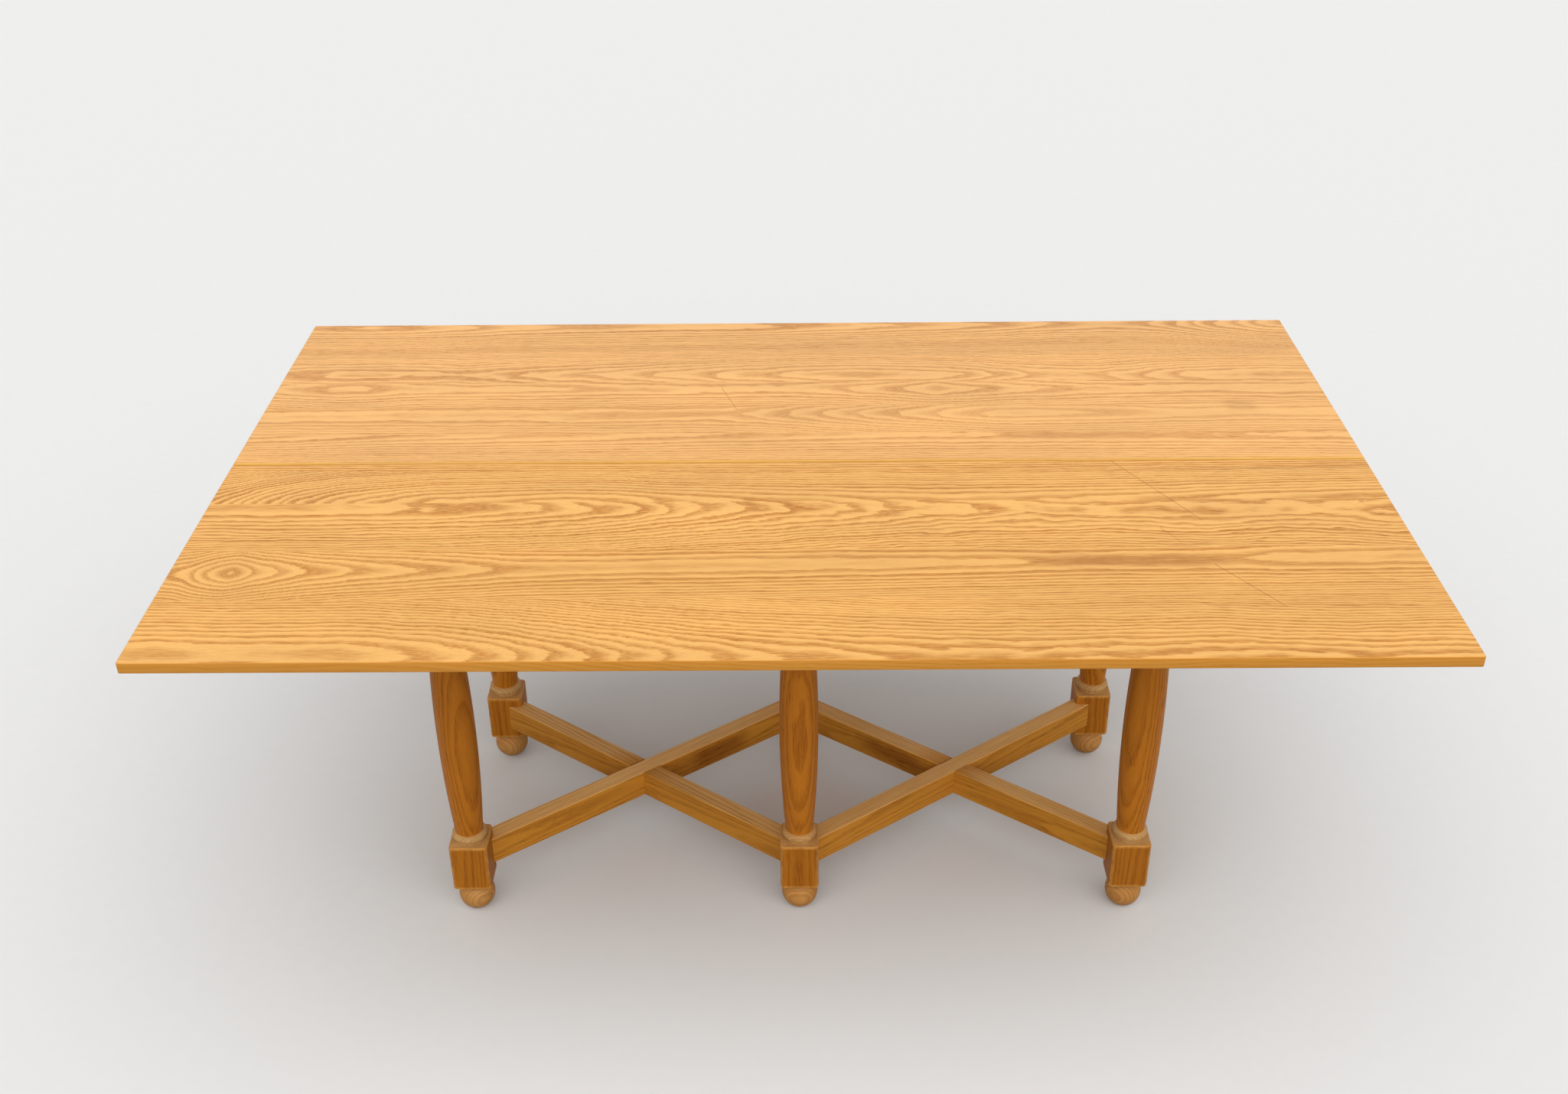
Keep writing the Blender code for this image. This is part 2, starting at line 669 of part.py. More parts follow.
def build_hinges():
    """Each hinge's two links keep a rhombus with the fold axis as they turn."""
    front_studs = [(FRONT_PIVOT, FRONT_ARM_X), (CENTRE_PIVOT, REAR_LINK_X)]
    rear_studs = [(REAR_PIVOT, REAR_ARM_X)]
    for n, at in hinge_places():
        build_barrel(f"hinge_barrel_front_{n}", at, -1, CARRIAGE, FRONT_PIVOT, FRONT_ARM_X)
        build_barrel(f"hinge_barrel_rear_{n}", at, 1, LEAF_AXIS, REAR_PIVOT, REAR_ARM_X)
        front = hinge_plate(FRONT_PIVOT, CENTRE_PIVOT, [], FRONT_LINK_X)
        build_link(f"hinge_link_front_{n}", at, FRONT_LINK_AXIS, front, FRONT_LINK_X, front_studs)
        rear = hinge_plate(REAR_PIVOT, CENTRE_PIVOT, [CENTRE_PIVOT], REAR_LINK_X)
        build_link(f"hinge_link_rear_{n}", at, REAR_LINK_AXIS, rear, REAR_LINK_X, rear_studs)


def build_leaves(screw_holes):
    bores = bmesh.new()
    bore_length = FOLD_GAP + 2 * (BARREL_DEPTH + FIT)
    for _, at in hinge_places():
        centre = at - Vector((0.0, 0.0, BARREL_DROP))
        add_cylinder(bores, BARREL_RADIUS + FIT, bore_length, centre, (0.0, 1.0, 0.0), BARREL_SIDES)
    hinge_bores = add_cutter("hinge bores", bores)
    size = (TOP_LENGTH, LEAF_DEPTH - FOLD_GAP / 2, LEAF_THICKNESS)
    middle = (LEAF_DEPTH + FOLD_GAP / 2) / 2
    for name, row, body in (("front_leaf", -1, CARRIAGE), ("rear_leaf", 1, LEAF_AXIS)):
        shape = bmesh.new()
        add_box(shape, size, Vector((0.0, row * middle, TABLE_HEIGHT - LEAF_THICKNESS / 2)) - FOLD_AXIS)
        leaf = add_part(name, shape, FOLD_AXIS, TOP_OAK, body)
        ease_edges(leaf, EDGE_EASE, 2)
        boolean(leaf, hinge_bores)
        if row < 0:
            boolean(leaf, screw_holes)


for stale in list(bpy.data.objects):
    bpy.data.objects.remove(stale)
PARTS = new_collection("flip_top_hall_table")
CUTTERS = new_collection("cutters")
BASE = new_empty("base", (0.0, 0.0, 0.0))
CARRIAGE = new_empty("top_carriage", (0.0, 0.0, LEAF_UNDERSIDE), BASE)
LEAF_AXIS = new_empty("fold_axis", FOLD_AXIS, CARRIAGE)
FRONT_LINK_AXIS = new_empty("front_link_axis", FOLD_AXIS + FRONT_PIVOT, CARRIAGE)
REAR_LINK_AXIS = new_empty("rear_link_axis", FOLD_AXIS + REAR_PIVOT, LEAF_AXIS)

dowel_holes = build_legs()
build_stretchers(dowel_holes)
build_aprons()
build_felt()
build_guides()
batten_holes = add_cutter("batten screw holes", batten_screw_holes())
build_battens(batten_holes)
build_hinges()
build_leaves(batten_holes)
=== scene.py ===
"""Dressed model of a sliding flip-top hall table in golden oak, opened flat.

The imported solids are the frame. Turned legs, scribed stretchers, planked leaves, the frame under
the top and its slides are drawn again with eased edges, and every surface gets its own finish.
Sizes are in metres, with +X along the table, +Y to its back and +Z up.
"""

import logging
import math
from dataclasses import dataclass, replace
from enum import Enum
from typing import Sequence, Union

import bpy
import numpy as np
from mathutils import Matrix, Vector


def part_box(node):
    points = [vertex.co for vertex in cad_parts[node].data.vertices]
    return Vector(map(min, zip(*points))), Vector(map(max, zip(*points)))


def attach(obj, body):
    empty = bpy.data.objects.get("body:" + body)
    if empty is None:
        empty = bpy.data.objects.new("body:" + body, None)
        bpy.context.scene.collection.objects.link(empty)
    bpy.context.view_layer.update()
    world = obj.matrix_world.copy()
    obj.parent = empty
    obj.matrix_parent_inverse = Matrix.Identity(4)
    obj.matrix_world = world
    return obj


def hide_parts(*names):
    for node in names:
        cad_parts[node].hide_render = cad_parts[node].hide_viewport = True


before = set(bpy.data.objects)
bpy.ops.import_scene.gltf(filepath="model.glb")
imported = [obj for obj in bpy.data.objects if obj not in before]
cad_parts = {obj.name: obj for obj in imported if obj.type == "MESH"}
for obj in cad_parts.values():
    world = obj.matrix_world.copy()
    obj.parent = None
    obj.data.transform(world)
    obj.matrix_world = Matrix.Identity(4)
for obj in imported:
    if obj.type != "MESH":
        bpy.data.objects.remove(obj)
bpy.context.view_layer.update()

LOG = logging.getLogger("hall_table")

Point = tuple[float, float, float]
Colour = tuple[float, float, float, float]
Faces = Sequence[Sequence[int]]
Object = bpy.types.Object
Material = bpy.types.Material

# The table's axes
ALONG: Point = (1.0, 0.0, 0.0)
ACROSS: Point = (0.0, 1.0, 0.0)
UP: Point = (0.0, 0.0, 1.0)

# Faces stay crisp where they meet at more than the crease, and a rounded arris has this many steps
CREASE = math.radians(38.0)
ARC_STEPS = 4


class Body(Enum):
    """The rigid bodies that pieces ride on."""

    BASE = "base"
    CARRIAGE = "top_carriage"
    LEAF = "folding_leaf"


class Slot(Enum):
    """The record's material slots."""

    TOP = "top_oak"
    LEG = "leg_oak"
    FRAME = "frame_oak"
    SLIDE = "slide_oak"
    DOWEL = "dowel_wood"
    FELT = "felt"
    HINGE = "hinge_steel"
    SCREW = "screw_steel"


class Row(Enum):
    """The front and the rear row of legs, with the sign of their Y."""

    FRONT = -1
    REAR = 1


class Side(Enum):
    """The legs along a row, with the sign of their X."""

    LEFT = -1
    MIDDLE = 0
    RIGHT = 1


class Signal:
    """A shader socket on which Python's operators add Math nodes."""

    def __init__(self, sheet: "Sheet", socket: bpy.types.NodeSocket) -> None:
        """Keeps the sheet that the socket is on."""
        self.sheet = sheet
        self.socket = socket

    def __add__(self, other: "Value") -> "Signal":
        """Sum."""
        return self.sheet.math("ADD", self, other)

    __radd__ = __add__

    def __sub__(self, other: "Value") -> "Signal":
        """Difference."""
        return self.sheet.math("SUBTRACT", self, other)

    def __rsub__(self, other: "Value") -> "Signal":
        """Difference from a number."""
        return self.sheet.math("SUBTRACT", other, self)

    def __mul__(self, other: "Value") -> "Signal":
        """Product."""
        return self.sheet.math("MULTIPLY", self, other)

    __rmul__ = __mul__

    def __truediv__(self, other: "Value") -> "Signal":
        """Quotient."""
        return self.sheet.math("DIVIDE", self, other)

    def __gt__(self, other: "Value") -> "Signal":
        """One where the signal is the larger, else zero."""
        return self.sheet.math("GREATER_THAN", self, other)

    def __lt__(self, other: "Value") -> "Signal":
        """One where the signal is the smaller, else zero."""
        return self.sheet.math("LESS_THAN", self, other)

    def __abs__(self) -> "Signal":
        """Size without its sign."""
        return self.sheet.math("ABSOLUTE", self)


Value = Union[float, Signal]


class Sheet:
    """The node tree of a material or a world, and the nodes that are drawn on it."""

    def __init__(self, owner: Union[Material, bpy.types.World], shader: str = "Principled BSDF") -> None:
        """Switches on the owner's nodes.

        Args:
            owner: The material or the world.
            shader: Name of the shader that it starts with.
        """
        owner.use_nodes = True
        self.owner = owner
        self.tree = owner.node_tree
        self.shader = self.tree.nodes[shader]

    def node(self, kind: str, settings: dict | None = None, inputs: dict | None = None) -> bpy.types.Node:
        """Adds any node.

        Args:
            kind: The node's type.
            settings: Its properties, set first; "stops" holds a ramp's places and colours.
            inputs: Values or signals by the name or index of their socket.

        Returns:
            The node.
        """
        made = self.tree.nodes.new(kind)
        for key, value in (settings or {}).items():
            if key == "stops":
                self._stops(made.color_ramp, value)
            elif key == "interpolation":
                made.color_ramp.interpolation = value
            else:
                setattr(made, key, value)
        for key, value in (inputs or {}).items():
            if isinstance(value, Signal):
                self.tree.links.new(value.socket, made.inputs[key])
            else:
                made.inputs[key].default_value = value
        return made

    @staticmethod
    def _stops(ramp: bpy.types.ColorRamp, stops: Sequence[tuple[float, Colour]]) -> None:
        """Gives a ramp its stops in place of the two that it starts with.

        Args:
            ramp: The ramp.
            stops: Place and colour of each stop, in order.
        """
        while len(ramp.elements) > 1:
            ramp.elements.remove(ramp.elements[-1])
        for k, (place, colour) in enumerate(stops):
            element = ramp.elements[0] if k == 0 else ramp.elements.new(place)
            element.position = place
            element.color = colour

    def out(self, node: bpy.types.Node, key: str | int = 0) -> Signal:
        """A node's output as a signal."""
        return Signal(self, node.outputs[key])

    def math(self, operation: str, first: Value, second: Value = 0.0) -> Signal:
        """A Math node on two values."""
        return self.out(self.node("ShaderNodeMath", {"operation": operation}, {0: first, 1: second}))

    def place(self) -> tuple[Signal, Signal, Signal]:
        """X, Y and Z of the surface point in the piece's own frame."""
        split = self.node("ShaderNodeSeparateXYZ", None, {0: self.position()})
        return self.out(split, 0), self.out(split, 1), self.out(split, 2)

    def position(self) -> Signal:
        """The surface point in the piece's own frame as a vector."""
        return self.out(self.node("ShaderNodeTexCoord"), "Object")

    def vector(self, x: Value, y: Value, z: Value) -> Signal:
        """A vector from three values."""
        return self.out(self.node("ShaderNodeCombineXYZ", None, {0: x, 1: y, 2: z}))

    def dot(self, vector: Signal, direction: Sequence[float]) -> Signal:
        """A vector's length along a fixed direction."""
        made = self.node("ShaderNodeVectorMath", {"operation": "DOT_PRODUCT"}, {0: vector, 1: direction})
        return self.out(made, "Value")

    def noise(self, at: Signal, detail: float, roughness: float = 0.5) -> Signal:
        """Smooth noise around zero, from about -0.5 to 0.5, one cycle to a unit of its vector."""
        inputs = {"Vector": at, "Scale": 1.0, "Detail": detail, "Roughness": roughness}
        return self.out(self.node("ShaderNodeTexNoise", {"noise_dimensions": "3D"}, inputs)) - 0.5

    def chance(self, key: Signal) -> Signal:
        """An even draw from 0 to 1 that belongs to a number."""
        return self.out(self.node("ShaderNodeTexWhiteNoise", {"noise_dimensions": "1D"}, {"W": key}), "Value")

    def ease(self, value: Signal, low: Value, high: Value) -> Signal:
        """Rises smoothly from 0 at low to 1 at high."""
        inputs = {"Value": value, "From Min": low, "From Max": high}
        return self.out(self.node("ShaderNodeMapRange", {"interpolation_type": "SMOOTHSTEP"}, inputs))

    def mix(self, share: Value, first: Union[Colour, Signal], second: Union[Colour, Signal]) -> Signal:
        """A colour between two colours."""
        made = self.node("ShaderNodeMix", {"data_type": "RGBA"}, {0: share, 6: first, 7: second})
        return self.out(made, 2)

    def scale(self, vector: Signal, factor: Value) -> Signal:
        """A colour or a vector times a factor."""
        made = self.node("ShaderNodeVectorMath", {"operation": "SCALE"}, {0: vector, "Scale": factor})
        return self.out(made)

    def attribute(self, name: str) -> Signal:
        """A number that the mesh keeps at its vertices."""
        return self.out(self.node("ShaderNodeAttribute", {"attribute_name": name}), "Fac")

    def bump(self, height: Signal, distance: float) -> None:
        """Makes relief from a height that runs from 0 to 1."""
        made = self.node("ShaderNodeBump", None, {"Strength": 1.0, "Distance": distance, "Height": height})
        self.feed("Normal", self.out(made))

    def feed(self, socket: str, value: Union[Value, Colour]) -> None:
        """Sets a number or colour on the shader, or links a signal to it.

        Args:
            socket: The name of the shader's socket.
            value: What it gets.
        """
        if isinstance(value, Signal):
            self.tree.links.new(value.socket, self.shader.inputs[socket])
        else:
            self.shader.inputs[socket].default_value = value


def grey(value: float) -> Colour:
    """A neutral colour of one value."""
    return value, value, value, 1.0


def chosen(steps: Sequence[Signal], values: Sequence[Value]) -> Value:
    """Picks one of a row of values by place.

    Args:
        steps: One signal for each border between two values, 0 before the border and 1 past it.
        values: The values in order, one more than the steps.

    Returns:
        The first value plus each step times the change at its border.
    """
    result = values[0]
    for step, before, after in zip(steps, values, values[1:]):
        change = after - before
        if change != 0.0:
            result = result + step * change
    return result


@dataclass(frozen=True)
class Mottle:
    """Noise that is drawn out along one direction, such as the grain.

    Attributes:
        along: Cycles to a metre along that direction.
        across: Cycles to a metre across it.
        detail: How many finer layers it has.
        roughness: How strong the finer layers are.
    """

    along: float
    across: float
    detail: float = 1.0
    roughness: float = 0.5

    def draw(
        self, sheet: Sheet, along: Value, across: Value, depth: Value = 0.0, start: Value = 0.0
    ) -> Signal:
        """Adds the noise to a sheet.

        Args:
            sheet: The sheet.
            along: Distance along the direction.
            across: Distance across it.
            depth: Distance across it the other way.
            start: Where the noise starts on that last axis, which sets boards apart.

        Returns:
            The noise, around zero.
        """
        at = sheet.vector(along * self.along, across * self.across, depth * self.across + start)
        return sheet.noise(at, self.detail, self.roughness)


@dataclass(frozen=True)
class OakTint:
    """The colours and sheen of finished oak.

    Attributes:
        late: Dense summer wood between the pores.
        early: Porous spring wood.
        pore: The bottoms of open pores.
        rim: Finish that has gathered on edges; on the leaves its darker colour is also painted shade on their
            edge faces.
        pale: Wood that took little stain or has rubbed through, and painted light on upward faces and turned
            beads.
        roughness: Of the lacquer on summer wood.
        gloss: Strength of the mirror part.
        coat: Share of a clear coat.
    """

    late: Colour
    early: Colour
    pore: Colour
    rim: Colour
    pale: Colour
    roughness: float
    gloss: float
    coat: float


TOP_TINT = OakTint(
    late=(0.960, 0.510, 0.136, 1.0),
    early=(0.520, 0.172, 0.004, 1.0),
    pore=(0.310, 0.090, 0.003, 1.0),
    # The leaves' rim is darker than their faces: partly gathered finish, partly painted shade on the edge
    # faces.
    rim=(0.650, 0.252, 0.014, 1.0),
    pale=(0.860, 0.450, 0.046, 1.0),
    roughness=0.40,
    gloss=0.28,
    coat=0.10,
)
# The rear leaf's colours are the top's made paler and greyer: painted sheen of the lacquer seen at a grazing
# angle.
REAR_TINT_WITH_SHEEN = replace(TOP_TINT, late=(0.950, 0.508, 0.162, 1.0), early=(0.540, 0.195, 0.026, 1.0))
LEG_TINT = OakTint(
    late=(0.600, 0.200, 0.013, 1.0),
    early=(0.320, 0.082, 0.003, 1.0),
    pore=(0.200, 0.045, 0.002, 1.0),
    rim=(0.780, 0.380, 0.085, 1.0),
    pale=(0.660, 0.415, 0.162, 1.0),
    roughness=0.45,
    gloss=0.14,
    coat=0.02,
)
BAR_TINT = replace(
    LEG_TINT,
    late=(0.640, 0.262, 0.028, 1.0),
    early=(0.390, 0.132, 0.010, 1.0),
    # This pale shows only on the bars' upper faces, as painted light from above.
    pale=(0.900, 0.540, 0.200, 1.0),
)
FRAME_TINT = OakTint(
    late=(0.580, 0.228, 0.029, 1.0),
    early=(0.350, 0.115, 0.011, 1.0),
    pore=(0.200, 0.058, 0.006, 1.0),
    rim=(0.600, 0.280, 0.065, 1.0),
    pale=(0.640, 0.330, 0.100, 1.0),
    roughness=0.50,
    gloss=0.14,
    coat=0.0,
)
BARE_TINT = OakTint(
    late=(0.600, 0.400, 0.210, 1.0),
    early=(0.400, 0.240, 0.110, 1.0),
    pore=(0.240, 0.135, 0.060, 1.0),
    rim=(0.600, 0.400, 0.220, 1.0),
    pale=(0.660, 0.470, 0.270, 1.0),
    roughness=0.62,
    gloss=0.20,
    coat=0.0,
)

# Noise in the wood, from slow swells to single pores
SWAY = Mottle(2.3, 7.0)
HEAVE = Mottle(3.1, 7.0)
HEAVE_START = 5.0
SWELL = Mottle(9.0, 30.0)
CURL = Mottle(26.0, 70.0)
TOOTH = Mottle(22.0, 420.0, 3.0, 0.70)
FIBRE = Mottle(28.0, 560.0, 3.0, 0.70)
DASH = Mottle(30.0, 800.0, 2.0, 0.60)
DRIFT = Mottle(2.2, 14.0, 3.0, 0.60)
NICKS = 95.0

# How seeds and years set boards apart
SEED_STEP = 3.1
YEAR_STEP = 17.0

# How fibres, spring wood and pores weigh in colour, sheen and relief
PORE_EDGE = (0.05, 0.17)
SUMMER_PORES = 0.24
SPRING_SHADE = 0.85
SPRING_STREAK = 1.8
SUMMER_STREAK = 0.35
BARE_SHARE = 0.9
BARE_STREAK = 1.2
BARE_SPRING = 0.35
DRIFT_SHADE = 0.36
FIBRE_SHADE = 0.16
PORE_DULL = 0.16
SPRING_DULL = 0.05
FIBRE_DULL = 0.10
COAT_ROUGHNESS = 0.30
PORE_DIP = 0.7
SPRING_DIP = 0.2
RELIEF = 0.00018


@dataclass(frozen=True)
class Spot:
    """A surface point in its board, and what the wood is like there.

    Attributes:
        along: Distance along the grain.
        across: Distance from the pith across the board.
        depth: Distance from the pith through the board.
        first: Radius of the first year's growth.
        ripple: How far a ring swells in and out along the grain.
        seed: A number that sets this board's chances apart.
        tone: Lightness of this board, around 1; on the leaves it also carries the painted shadow along the
            fold.
        edge_wear_and_shade: 1 on edges and 0 on faces; it lays the rim colour, worn edges on sawn pieces and
            partly painted shade on the leaves' edge faces.
        pale: 1 where the wood is palest, from rubbing and from painted light, 0 where it is stained and -1
            where it is darkest.
        dirt: How far a dark streak hides the wood.
        bold: How strongly this board's figure shows, around 1.
    """

    along: Signal
    across: Signal
    depth: Signal
    first: float
    ripple: Value
    seed: Value
    tone: Value
    edge_wear_and_shade: Signal
    pale: Signal
    dirt: Value
    bold: Value = 1.0


@dataclass(frozen=True)
class OakGrain:
    """Growth rings, streaks and pores of oak, worked out from the distance to the pith.

    Attributes:
        wander: How far the pith strays from its line.
        jag: Share of a year by which pores fray its edge.
        contrast: How strongly the spring wood shows.
        pores: How strongly open pores show.
        crowding: Power by which rings crowd together away from the pith.
        point: Power of the sum that gives the distance to the pith; below 2 it sharpens tips.
        press: Years that are gained at one first year's radius to the side of the pith.
        begin: Share of a year in which the spring wood begins.
        fade: Shares of a year between which the spring wood fades out.
        linger: How much later those two lie in some years.
        fray: How far pores fray the end of the spring wood.
        faintest: Spring wood of the weakest year beside that of the strongest.
    """

    wander: float = 0.002
    jag: float = 0.55
    contrast: float = 1.0
    pores: float = 0.6
    crowding: float = 1.6
    point: float = 1.75
    press: float = 0.15
    begin: float = 0.10
    fade: tuple[float, float] = (0.18, 0.68)
    linger: tuple[float, float] = (0.15, 0.25)
    fray: float = 0.35
    faintest: float = 0.70

    def years(self, sheet: Sheet, side: Signal, low: Signal, swing: Signal, first: float) -> Signal:
        """Counts the years from the pith to a point.

        The distance to the pith is the root of a sum of powers of its two parts. The count is a
        power of that distance over the first year's radius, and it gains more with the square of
        the distance to the side.

        Args:
            sheet: The material's sheet.
            side: Distance from the pith across the board.
            low: Distance from the pith through the board.
            swing: How far the ring swells here.
            first: Radius of the first year's growth.

        Returns:
            The count.
        """
        total = sheet.math("POWER", abs(side), self.point) + sheet.math("POWER", abs(low), self.point)
        reach = sheet.math("MAXIMUM", sheet.math("POWER", total, 1.0 / self.point) + swing, 0.0)
        return sheet.math("POWER", reach / first, self.crowding) + side * side * (self.press / first**2)

    def _spring(self, sheet: Sheet, spot: Spot, shift: Signal, tooth: Signal) -> Signal:
        """Tells how much of the wood at a point is spring wood.

        The count of years from the pith splits into a year and a season. Spring wood is darkest at
        the start of each year, where it begins sharply, and fades out frayed along the grain.

        Args:
            sheet: The material's sheet.
            spot: The point.
            shift: Distance along the grain, set apart by the board's seed.
            tooth: Noise that frays the years along the grain.

        Returns:
            The share of spring wood.
        """
        sway = SWAY.draw(sheet, shift, spot.across, start=spot.seed)
        lift = sheet.vector(shift * HEAVE.along, spot.seed, spot.depth * HEAVE.across + HEAVE_START)
        heave = sheet.noise(lift, HEAVE.detail)
        swell = SWELL.draw(sheet, shift, spot.across, spot.depth)
        curl = CURL.draw(sheet, shift, spot.across, spot.depth)
        side = spot.across + sway * (4 * self.wander)
        low = spot.depth + heave * (2 * self.wander)
        years = self.years(sheet, side, low, (swell * 2.0 + curl) * spot.ripple, spot.first)
        years = years + tooth * self.jag
        year = sheet.math("FLOOR", years)
        season = years - year
        chance = sheet.chance(year + spot.seed * YEAR_STEP)
        start, end = (share + chance * later for share, later in zip(self.fade, self.linger))
        fall = sheet.ease(season - tooth * self.fray, start, end)
        strength = self.faintest + chance * (1.0 - self.faintest)
        return sheet.ease(season, 0.0, self.begin) * (1.0 - fall) * strength

    def paint(self, sheet: Sheet, tint: OakTint, spot: Spot) -> None:
        """Feeds a shader with oak.

        Args:
            sheet: The material's sheet.
            tint: The colours.
            spot: The surface point in its board.
        """
        shift = spot.along + spot.seed * SEED_STEP
        place = (shift, spot.across, spot.depth)
        tooth = TOOTH.draw(sheet, *place)
        fibre = FIBRE.draw(sheet, *place)
        drift = DRIFT.draw(sheet, *place, spot.seed)
        spring = self._spring(sheet, spot, shift, tooth)
        open_share = SUMMER_PORES + spring * (1.0 - SUMMER_PORES)
        pore = sheet.ease(DASH.draw(sheet, *place), *PORE_EDGE) * open_share
        shade = spring * (SPRING_SHADE + fibre * SPRING_STREAK) + fibre * SUMMER_STREAK
        wood = sheet.mix(shade * spot.bold * self.contrast, tint.late, tint.early)
        wood = sheet.mix(pore * spot.bold * self.pores + spot.dirt, wood, tint.pore)
        # Share of the pale colour: rubbed and unstained wood, and painted light on upward faces, beads and
        # collars.
        bare = spot.pale * (BARE_SHARE + drift + fibre * BARE_STREAK - spring * BARE_SPRING)
        wood = sheet.mix(bare, wood, tint.pale)
        tone = (1.0 + sheet.math("MINIMUM", spot.pale, 0.0)) * spot.tone
        wood = sheet.scale(wood, (1.0 + drift * DRIFT_SHADE - fibre * FIBRE_SHADE) * tone)
        dull = pore * PORE_DULL + spring * SPRING_DULL + fibre * FIBRE_DULL
        # Edges take the rim colour: worn edges on sawn pieces, partly painted shade on the leaves' edge
        # faces.
        sheet.feed("Base Color", sheet.mix(spot.edge_wear_and_shade, wood, tint.rim))
        sheet.feed("Roughness", tint.roughness + dull)
        sheet.feed("Specular IOR Level", tint.gloss)
        sheet.feed("Coat Weight", tint.coat)
        sheet.feed("Coat Roughness", COAT_ROUGHNESS)
        sheet.bump(1.0 - pore * PORE_DIP - spring * SPRING_DIP, RELIEF)


@dataclass(frozen=True)
class Stain:
    """A dark streak along the grain.

    Attributes:
        start: Where it begins along the grain, from the piece's origin.
        end: Where it ends.
        height: How far its middle lies from the origin across the grain.
        spread: Half of its width.
        depth: How far its brown hides the wood, from 0 to 1.
    """

    start: float
    end: float
    height: float
    spread: float
    depth: float

    WAVER = Mottle(30.0, 260.0, 3.0, 0.6)
    LENGTH_CORE = 0.35
    WIDTH_CORE = 0.1

    def cover(self, sheet: Sheet, along: Signal, rise: Signal) -> Signal:
        """Tells how far the streak hides the wood; its edges waver along the grain.

        Args:
            sheet: The material's sheet.
            along: Distance along the grain.
            rise: Distance across it.

        Returns:
            Zero where the wood is clean, up to the depth in the streak.
        """
        waver = self.WAVER.draw(sheet, along, rise, start=self.start)
        middle = (self.start + self.end) / 2
        half = abs(self.end - self.start) / 2
        off = abs(rise - self.height) + waver * self.spread
        lengthwise = 1.0 - sheet.ease(abs(along - middle), half * self.LENGTH_CORE, half)
        sideways = 1.0 - sheet.ease(off, self.spread * self.WIDTH_CORE, self.spread)
        return lengthwise * sideways * self.depth


@dataclass(frozen=True)
class Plank:
    """One board of a leaf.

    Attributes:
        near: Y of its front edge.
        heart: Y of the line on its face that is nearest to the pith, at the middle of its length.
        slant: How far that line drifts to the back over each metre of X.
        ripple: How far its rings swell in and out.
        tone: Lightness, around 1.
        bold: How strongly its figure shows, around 1.
        pith: Places along X with the years from the face to the pith there, which are negative where
            the pith has surfaced.
        grow: How much wider its rings lie across the face than usual.
    """

    near: float
    heart: float
    slant: float
    ripple: float
    tone: float
    bold: float
    pith: tuple[tuple[float, float], ...]
    grow: float = 1.0


@dataclass(frozen=True)
class Scratch:
    """A fine scratch on a leaf's face.

    Attributes:
        start: X and Y of one end.
        end: X and Y of the other end.
        width: How far from its line it fades out.
    """

    start: tuple[float, float]
    end: tuple[float, float]
    width: float = 0.0016


